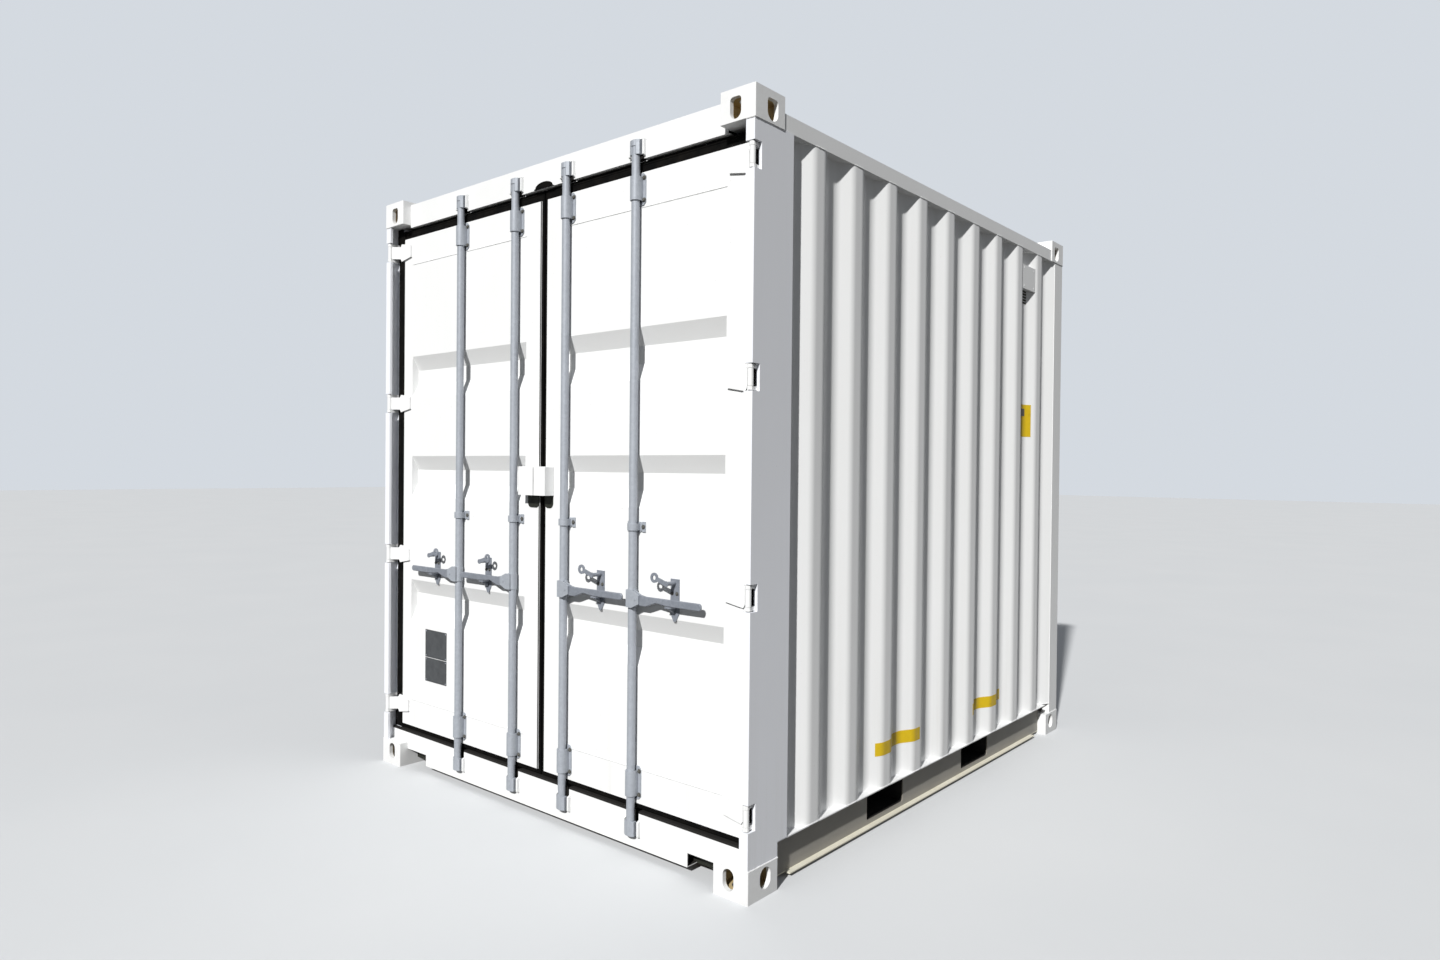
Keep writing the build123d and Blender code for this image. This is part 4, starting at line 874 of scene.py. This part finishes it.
def add_welds(line):
    """Weld beads where castings, posts, rails and sheets meet."""
    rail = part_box("bottom_side_rails")[1].z
    roof_low, roof_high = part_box("top_side_rails")
    post_low, post_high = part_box("door_post_right")
    end_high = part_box("end_posts")[1]
    welds = bmesh.new()
    inner_y = roof_high.y
    for side in (-1, 1):
        for z in (CASTING_HEIGHT, TOP - CASTING_HEIGHT):
            front = [
                Vector((side * (post_high.x - POST_FRONT), post_low.y, z)),
                Vector((side * post_high.x, post_low.y, z)),
                Vector((side * post_high.x, -inner_y, z)),
            ]
            bead(welds, front, *FRAME_WELD)
            back = [
                Vector((side * (end_high.x - END_POST_WIDTH), end_high.y, z)),
                Vector((side * end_high.x, end_high.y, z)),
                Vector((side * end_high.x, end_high.y - END_POST_DEPTH, z)),
            ]
            bead(welds, back, *FRAME_WELD)
        for way in (-1, 1):
            rail_end = [Vector((side * roof_high.x, way * inner_y, z)) for z in (roof_low.z, roof_high.z)]
            bead(welds, rail_end, *RAIL_WELD)
        for z in (rail, roof_low.z):
            bead(welds, [Vector((side * x, y, z)) for y, x in line], *SHEET_WELD)
        seam_y, seam_x = line[0]
        bead(welds, [Vector((side * seam_x, seam_y, z)) for z in (rail, roof_low.z)], *POST_WELD)
    piece("weld_beads", welds, "box", FRAME_PAINT)


def add_door_seams():
    """The weld along the foot and the top of each leaf's pressed sheet."""
    x0, x1 = panel_low.x, panel_high.x
    for name, side in SIDES:
        seam = bmesh.new()
        for z, ends in ((panel_low.z, (x0, x1)), (panel_high.z, (x1, x0))):
            bead(seam, [Vector((side * x, FACE, z)) for x in ends], *LEAF_WELD)
        piece(f"leaf_seam_{name}", seam, f"door_{name}", DOOR_PAINT)


# Rubber ring: its two ribs, in from its outline, and its lip over the leaf's inner edge
RIB_INSETS = (0.0045, 0.0125)
RIB = (0.0022, 0.05)
MEETING_LIP = (0.0004, 0.0055)
MEETING_LIP_DEPTH = (-0.0010, -0.0001)


def add_gasket_lips():
    """Ribs on the rubber ring round each leaf, and its lip over the edge where the leaves meet."""
    for name, side in SIDES:
        low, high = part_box(f"door_gasket_{name}")
        ribs = bmesh.new()
        for inset in RIB_INSETS:
            x0 = min(abs(low.x), abs(high.x)) + inset
            x1 = max(abs(low.x), abs(high.x)) - inset
            z0 = low.z + inset
            z1 = high.z - inset
            points = [Vector((side * x, low.y, z)) for x, z in ((x0, z0), (x1, z0), (x1, z1), (x0, z1))]
            bead(ribs, points, *RIB, closed=True)
        piece(f"gasket_ribs_{name}", ribs, f"door_{name}", RUBBER)
        lip = bmesh.new()
        reach = [LEAF_INNER + edge for edge in MEETING_LIP]
        depth = [FACE + edge for edge in MEETING_LIP_DEPTH]
        side_block(lip, side, reach, depth, (door_low.z, door_high.z), FILM_BEVEL)
        piece(f"meeting_lip_{name}", lip, f"door_{name}", RUBBER)


# Yellow film: (start, end, foot) of each strip over a fork pocket, and the strip and its dark block
# below a vent, as (start, end) from the vent's middle and (foot, top)
FILM = 0.0006
POCKET_FILMS = ((-0.592, -0.225, 0.315), (0.335, 0.745, 0.312))
POCKET_FILM_HEIGHT = 0.057
VENT_FILM = (-0.032, 0.074)
VENT_FILM_HEIGHTS = (1.742, 1.923)
VENT_BLOCK = (-0.022, 0.030)
VENT_BLOCK_HEIGHTS = (1.858, 1.900)
VENT_BLOCK_RISE = 0.0010


def add_markings(line):
    """Yellow film over the fork pockets and in the trough below each vent."""
    vent_low, vent_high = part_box("side_vents")
    middle = (vent_low.y + vent_high.y) / 2
    for name, side in SIDES:
        film = bmesh.new()
        for start, end, foot in POCKET_FILMS:
            band(film, cut_line(line, start, end), foot, foot + POCKET_FILM_HEIGHT, FILM, side)
        piece(f"pocket_marking_{name}", film, "box", YELLOW)
        film = bmesh.new()
        under_vent = cut_line(line, middle + VENT_FILM[0], middle + VENT_FILM[1])
        band(film, under_vent, *VENT_FILM_HEIGHTS, FILM, side)
        piece(f"vent_marking_{name}", film, "box", YELLOW)
        dark = bmesh.new()
        under_vent = cut_line(line, middle + VENT_BLOCK[0], middle + VENT_BLOCK[1])
        band(dark, under_vent, *VENT_BLOCK_HEIGHTS, VENT_BLOCK_RISE, side)
        piece(f"vent_marking_block_{name}", dark, "box", BOLT)


# Below each vent: the dark plate of painted shade, its half width, drop and rise off the sheet, and the four
# fins in front of it
HOOD_SHADE_HALF = 0.0315
HOOD_SHADE_DROP = 0.072
HOOD_SHADE_RISE = 0.0012
TROUGH_DEPTH = 0.032
FINS = 4
FIN_FIRST = 0.062
FIN_PITCH = 0.016
FIN_HALF = 0.029
FIN_DEPTH = (-0.001, 0.0035)
FIN_HEIGHT = 0.003


def add_vents(line):
    """Below each vent hood: a dark plate in the trough as painted shade, slotted by the fins in front of it.
    """
    low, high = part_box("side_vents")
    middle = (low.y + high.y) / 2
    foot = high.x - TROUGH_DEPTH
    for name, side in SIDES:
        hood_shade = bmesh.new()
        # A dark plate below the hood: painted shade of the hood
        under_vent = cut_line(line, middle - HOOD_SHADE_HALF, middle + HOOD_SHADE_HALF)
        band(hood_shade, under_vent, low.z - HOOD_SHADE_DROP, low.z, HOOD_SHADE_RISE, side)
        piece(f"vent_hood_shade_{name}", hood_shade, "box", SHADE_DARK)
        fins = bmesh.new()
        x0, x1 = [side * foot + depth for depth in FIN_DEPTH]
        for i in range(FINS):
            z = low.z - FIN_FIRST + i * FIN_PITCH
            near = Vector((x0, middle - FIN_HALF, z))
            block(fins, near, Vector((x1, middle + FIN_HALF, z + FIN_HEIGHT)), STRIP_BEVEL)
        piece(f"vent_fins_{name}", fins, "box", FRAME_PAINT)


# Rubber stop: its middle across, how far it stands out, half its foot, its arch, and its tapered front
STOP_MIDDLE = 0.012
STOP_DEPTH = 0.007
STOP_HALF = 0.066
STOP_ARCH = 0.056
STOP_SPRING = 0.007
STOP_RISE = 0.021
STOP_STEPS = 8
STOP_FRONT = 0.002
STOP_TAPER = 0.93


def add_header_stop():
    """The arched rubber stop on the foot of the header."""
    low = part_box("door_header")[0]
    stop = bmesh.new()
    front = low.y - STOP_DEPTH
    outline = [(-STOP_HALF, low.z)]
    for i in range(STOP_STEPS + 1):
        angle = math.pi * (1 - i / STOP_STEPS)
        rise = STOP_SPRING + STOP_RISE * math.sin(angle)
        outline.append((STOP_ARCH * math.cos(angle), low.z + rise))
    outline.append((STOP_HALF, low.z))
    rings = []
    for y, grow in ((low.y, 1.0), (front + STOP_FRONT, 1.0), (front, STOP_TAPER)):
        ring = []
        for x, z in outline:
            ring.append(stop.verts.new((STOP_MIDDLE + x * grow, y, low.z + (z - low.z) * grow)))
        rings.append(ring)
    for one, other in zip(rings, rings[1:]):
        bridge(stop, one, other)
    stop.faces.new(rings[-1])
    stop.faces.new(list(reversed(rings[0])))
    piece("header_stop", stop, "box", RUBBER)


# Seats beside the doors, from the middle outwards, with their front face and half a hinge blade's height
SEAT_INNER = 1.150
SEAT_OUTER = 1.203
SEAT_FACE = -1.4325
BLADE_HALF = 0.046

# What closes them: each lip's reach past the leaf, the black pads of painted shade above and below, and the
# right leaf's strip
EDGE_LIP = (0.0006, 0.057)
EDGE_LIP_DEPTH = (-1.4365, -1.4340)
EDGE_LIP_GAP = 0.004
PAD_DEPTH = 0.0012
PAD_LIFT = 0.002
EDGE_STRIP = (0.0002, 0.026)
EDGE_STRIP_DEPTH = (-1.4395, -1.4370)


def add_edge_seals():
    """Rubber lips in the gap beside the leaves, and black pads of painted shade on the seats above and below
    the outer hinge blades.
    """
    header_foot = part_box("door_header")[0].z
    sill_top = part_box("door_sill")[1].z
    casting_foot = TOP - CASTING_HEIGHT
    for name, side in SIDES:
        lip = bmesh.new()
        reach = [LEAF_EDGE + edge for edge in EDGE_LIP]
        height = (sill_top + EDGE_LIP_GAP, header_foot - EDGE_LIP_GAP)
        side_block(lip, side, reach, EDGE_LIP_DEPTH, height, STRIP_BEVEL)
        piece(f"edge_lip_{name}", lip, f"door_{name}", RUBBER)
    pads = bmesh.new()
    seat = (SEAT_INNER, SEAT_OUTER)
    depth = (SEAT_FACE - PAD_DEPTH, SEAT_FACE)
    above = (HINGE_LAST + BLADE_HALF, casting_foot)
    below = (sill_top + PAD_LIFT, HINGE_FIRST - BLADE_HALF)
    for side in (-1, 1):
        for height in (above, below):
            side_block(pads, side, seat, depth, height, FILM_BEVEL)
    # Black pads on the seats: painted shade of the recess beside the leaves
    piece("seat_shade_pads", pads, "box", RUBBER)
    strip = bmesh.new()
    reach = [LEAF_EDGE + edge for edge in EDGE_STRIP]
    side_block(strip, 1, reach, EDGE_STRIP_DEPTH, (door_low.z, door_high.z), STRIP_BEVEL)
    piece("edge_strip_right", strip, "door_right", DOOR_PAINT)


def hood(mesh, low, high, wall, corner):
    """A sheet box open at its foot, with rounded outer edges; its lining takes the second material, which is
    painted shade.
    """
    shells = []
    for inset, top in ((0.0, high.z), (wall, high.z - wall)):
        ring = []
        for x, y in ((low.x, low.y), (high.x, low.y), (high.x, high.y), (low.x, high.y)):
            dx = inset if x == low.x else -inset
            dy = inset if y == low.y else -inset
            foot = mesh.verts.new((x + dx, y + dy, low.z))
            ring.append((foot, mesh.verts.new((x + dx, y + dy, top))))
        shells.append(ring)
    outer, inner = shells
    for i in range(4):
        j = (i + 1) % 4
        for ring in shells:
            mesh.faces.new((ring[i][0], ring[j][0], ring[j][1], ring[i][1]))
        mesh.faces.new((outer[i][0], outer[j][0], inner[j][0], inner[i][0]))
    for ring in shells:
        mesh.faces.new([corner_pair[1] for corner_pair in ring])
    # The lining is painted shade inside the box
    lining = {vert for corner_pair in inner for vert in corner_pair}
    for face in mesh.faces:
        face.material_index = 1 if lining.issuperset(face.verts) else 0
    top_edges = {e for foot, top in outer for e in top.link_edges}
    bmesh.ops.bevel(mesh, geom=list(top_edges), offset=corner, segments=2, affect="EDGES", profile=0.5)


# Lock box across the gap between the leaves
LOCK_LEFT = -0.105
LOCK_RIGHT = 0.080
LOCK_SPLIT = 0.003
LOCK_TOP = 1.546
LOCK_WALL = 0.004
LOCK_CORNER = 0.003


def add_lock_box():
    """The two halves of the hood over the padlock, one on each leaf."""
    for name, x0, x1 in (("left", LOCK_LEFT, -LOCK_SPLIT), ("right", LOCK_SPLIT, LOCK_RIGHT)):
        low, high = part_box(f"lock_box_{name}")
        half = bmesh.new()
        hood(half, Vector((x0, low.y, low.z)), Vector((x1, high.y, LOCK_TOP)), LOCK_WALL, LOCK_CORNER)
        made = piece(f"lock_hood_{name}", half, f"door_{name}", DOOR_PAINT)
        # Its lining is painted shade
        made.data.materials.append(SHADE_DARK)
        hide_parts(f"lock_box_{name}")


PLATE_STEPS = 6


def rounded_plate(mesh, low, high, radius):
    """An upright plate whose two lower corners are rounded."""
    outline = [(low.x, high.z)]
    for middle, start in ((low.x + radius, math.pi), (high.x - radius, 1.5 * math.pi)):
        for i in range(PLATE_STEPS + 1):
            angle = start + i * math.pi / 2 / PLATE_STEPS
            outline.append((middle + radius * math.cos(angle), low.z + radius + radius * math.sin(angle)))
    outline.append((high.x, high.z))
    rings = [[mesh.verts.new((x, y, z)) for x, z in outline] for y in (low.y, high.y)]
    bridge(mesh, *rings)
    for ring in rings:
        mesh.faces.new(ring)


# Dark plates on the leaves below the lock box: its painted shadow
PATCH_LEFT = -0.098
PATCH_RIGHT = 0.076
PATCH_DROP = 0.056
PATCH_ROUND = 0.022
PATCH_DEPTH = 0.0016
PATCH_GAP = 0.001
PATCH_TUCK = 0.002


def add_lock_shadow_plates():
    """Dark plates below the lock box as its painted shadow, one on each leaf."""
    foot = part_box("lock_box_right")[0].z
    inner = LEAF_INNER + PATCH_GAP
    for name, x0, x1 in (("left", PATCH_LEFT, -inner), ("right", inner, PATCH_RIGHT)):
        patch = bmesh.new()
        low = Vector((x0, FACE - PATCH_DEPTH, foot - PATCH_DROP))
        rounded_plate(patch, low, Vector((x1, FACE - OFF_LEAF, foot + PATCH_TUCK)), PATCH_ROUND)
        piece(f"lock_shadow_{name}", patch, f"door_{name}", SHADE_DARK)


# Rounded cap of a locking bar, from its open foot up
CAP_RADIUS = 0.0200
CAP_HEIGHT = 0.026
CAP_SIDES = 20
CAP_SHAPE = (
    (CAP_RADIUS - 0.002, -CAP_HEIGHT),
    (CAP_RADIUS, -CAP_HEIGHT + 0.002),
    (CAP_RADIUS, -0.006),
    (CAP_RADIUS * 0.86, -0.001),
    (CAP_RADIUS * 0.55, 0.0025),
    (CAP_RADIUS * 0.15, 0.0035),
)


def add_bar_caps():
    """A rounded cap over the upper end of each locking bar."""
    for name, side in SIDES:
        for place, bar in zip(("inner", "outer"), BARS):
            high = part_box(f"locking_bar_{name}_{place}")[1]
            cap = bmesh.new()
            turned(cap, Vector((side * bar, BAR_LINE, high.z)), Vector((0, 0, 1)), CAP_SHAPE, CAP_SIDES)
            piece(f"bar_cap_{name}_{place}", cap, f"bar_{name}_{place}", ZINC)


# Ears beside the cams, low where the bar's end turns past them
EAR_FRONT = 0.032
EAR_SLOPE = 0.007
EAR_WIDTH = 0.009
EAR_OFFSET = 0.0342


def add_keepers():
    """Upright ears on the header and the sill, one on each side of every cam."""
    for level, beam in (("header", "door_header"), ("sill", "door_sill")):
        low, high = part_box(f"{level}_keepers")
        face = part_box(beam)[0].y
        front = -HALF_Y + EAR_FRONT
        outline = ((face, low.z), (front, low.z + EAR_SLOPE), (front, high.z - EAR_SLOPE), (face, high.z))
        ears = bmesh.new()
        for side in (-1, 1):
            for bar in BARS:
                for start in (bar - EAR_OFFSET - EAR_WIDTH, bar + EAR_OFFSET):
                    rings = []
                    for x in (start, start + EAR_WIDTH):
                        rings.append([ears.verts.new((side * x, y, z)) for y, z in outline])
                    bridge(ears, *rings)
                    for ring in rings:
                        ears.faces.new(ring)
        bmesh.ops.bevel(ears, geom=list(ears.edges), offset=STRIP_BEVEL, segments=1, affect="EDGES")
        made = piece(f"{level}_ears", ears, "box", FRAME_PAINT)
        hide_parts(f"{level}_keepers")


# Width of a bottom casting, and the notch of the sill beside it
CASTING_WIDTH = 0.162
NOTCH_WIDTH = 0.167
NOTCH_TOP = 0.088
NOTCH_PLATE = 0.004
NOTCH_BEVEL = 0.0005
SILL_BEVEL = 0.001


def add_sill_ends():
    """The sill carried on over the bottom castings to the posts, and the back of its notch beside them, dark
    as painted shade.
    """
    low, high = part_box("door_sill")
    casting_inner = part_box("corner_castings_bottom")[1].x - CASTING_WIDTH
    height = (CASTING_HEIGHT, high.z)
    ends = bmesh.new()
    for side in (-1, 1):
        side_block(ends, side, (casting_inner, SEAT_OUTER), (low.y, SEAT_FACE), height, SILL_BEVEL)
        side_block(ends, side, (casting_inner, SEAT_INNER), (SEAT_FACE, high.y), height, SILL_BEVEL)
    piece("sill_ends", ends, "box", SILL_PAINT_AND_SHADE)
    backs = bmesh.new()
    for side in (-1, 1):
        reach = (casting_inner - NOTCH_WIDTH, casting_inner)
        side_block(backs, side, reach, (high.y - NOTCH_PLATE, high.y), (low.z, NOTCH_TOP), NOTCH_BEVEL)
    # The notch's back is near black as painted shade
    piece("sill_notch_backs", backs, "box", SHADE_DARK)


# Floor screws: rows over the cross members, how many in a row, and the head's shape
ROW_INSET = 0.03
MIDDLE_ROWS = (-1.17, -0.91, -0.14, 0.14, 0.91, 1.17)
SCREWS = 15
SCREW_INSET = 0.12
SCREW_HEAD = ((0.0055, 0.0), (0.005, 0.0006), (0.0015, 0.0003))
SCREW_SIDES = 8


def add_floor_screws():
    """Rows of countersunk screws through the boards."""
    low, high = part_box("floor_boards")
    heads = bmesh.new()
    first = low.x + SCREW_INSET
    width = high.x - low.x - 2 * SCREW_INSET
    for y in (low.y + ROW_INSET, *MIDDLE_ROWS, high.y - ROW_INSET):
        for i in range(SCREWS):
            x = first + width * i / (SCREWS - 1)
            turned(heads, Vector((x, y, high.z)), Vector((0, 0, 1)), SCREW_HEAD, SCREW_SIDES)
    piece("floor_screws", heads, "box", BOLT)


make_camera()
make_light()
make_floor()
dress_nodes()
folds = rounded(sheet_line())
add_side_sheets(folds)
add_gear_bolts()
add_rivets()
add_pin_caps()
add_welds(folds)
add_door_seams()
add_gasket_lips()
add_markings(folds)
add_vents(folds)
add_header_stop()
add_edge_seals()
add_lock_box()
add_lock_shadow_plates()
add_bar_caps()
add_keepers()
add_sill_ends()
add_floor_screws()
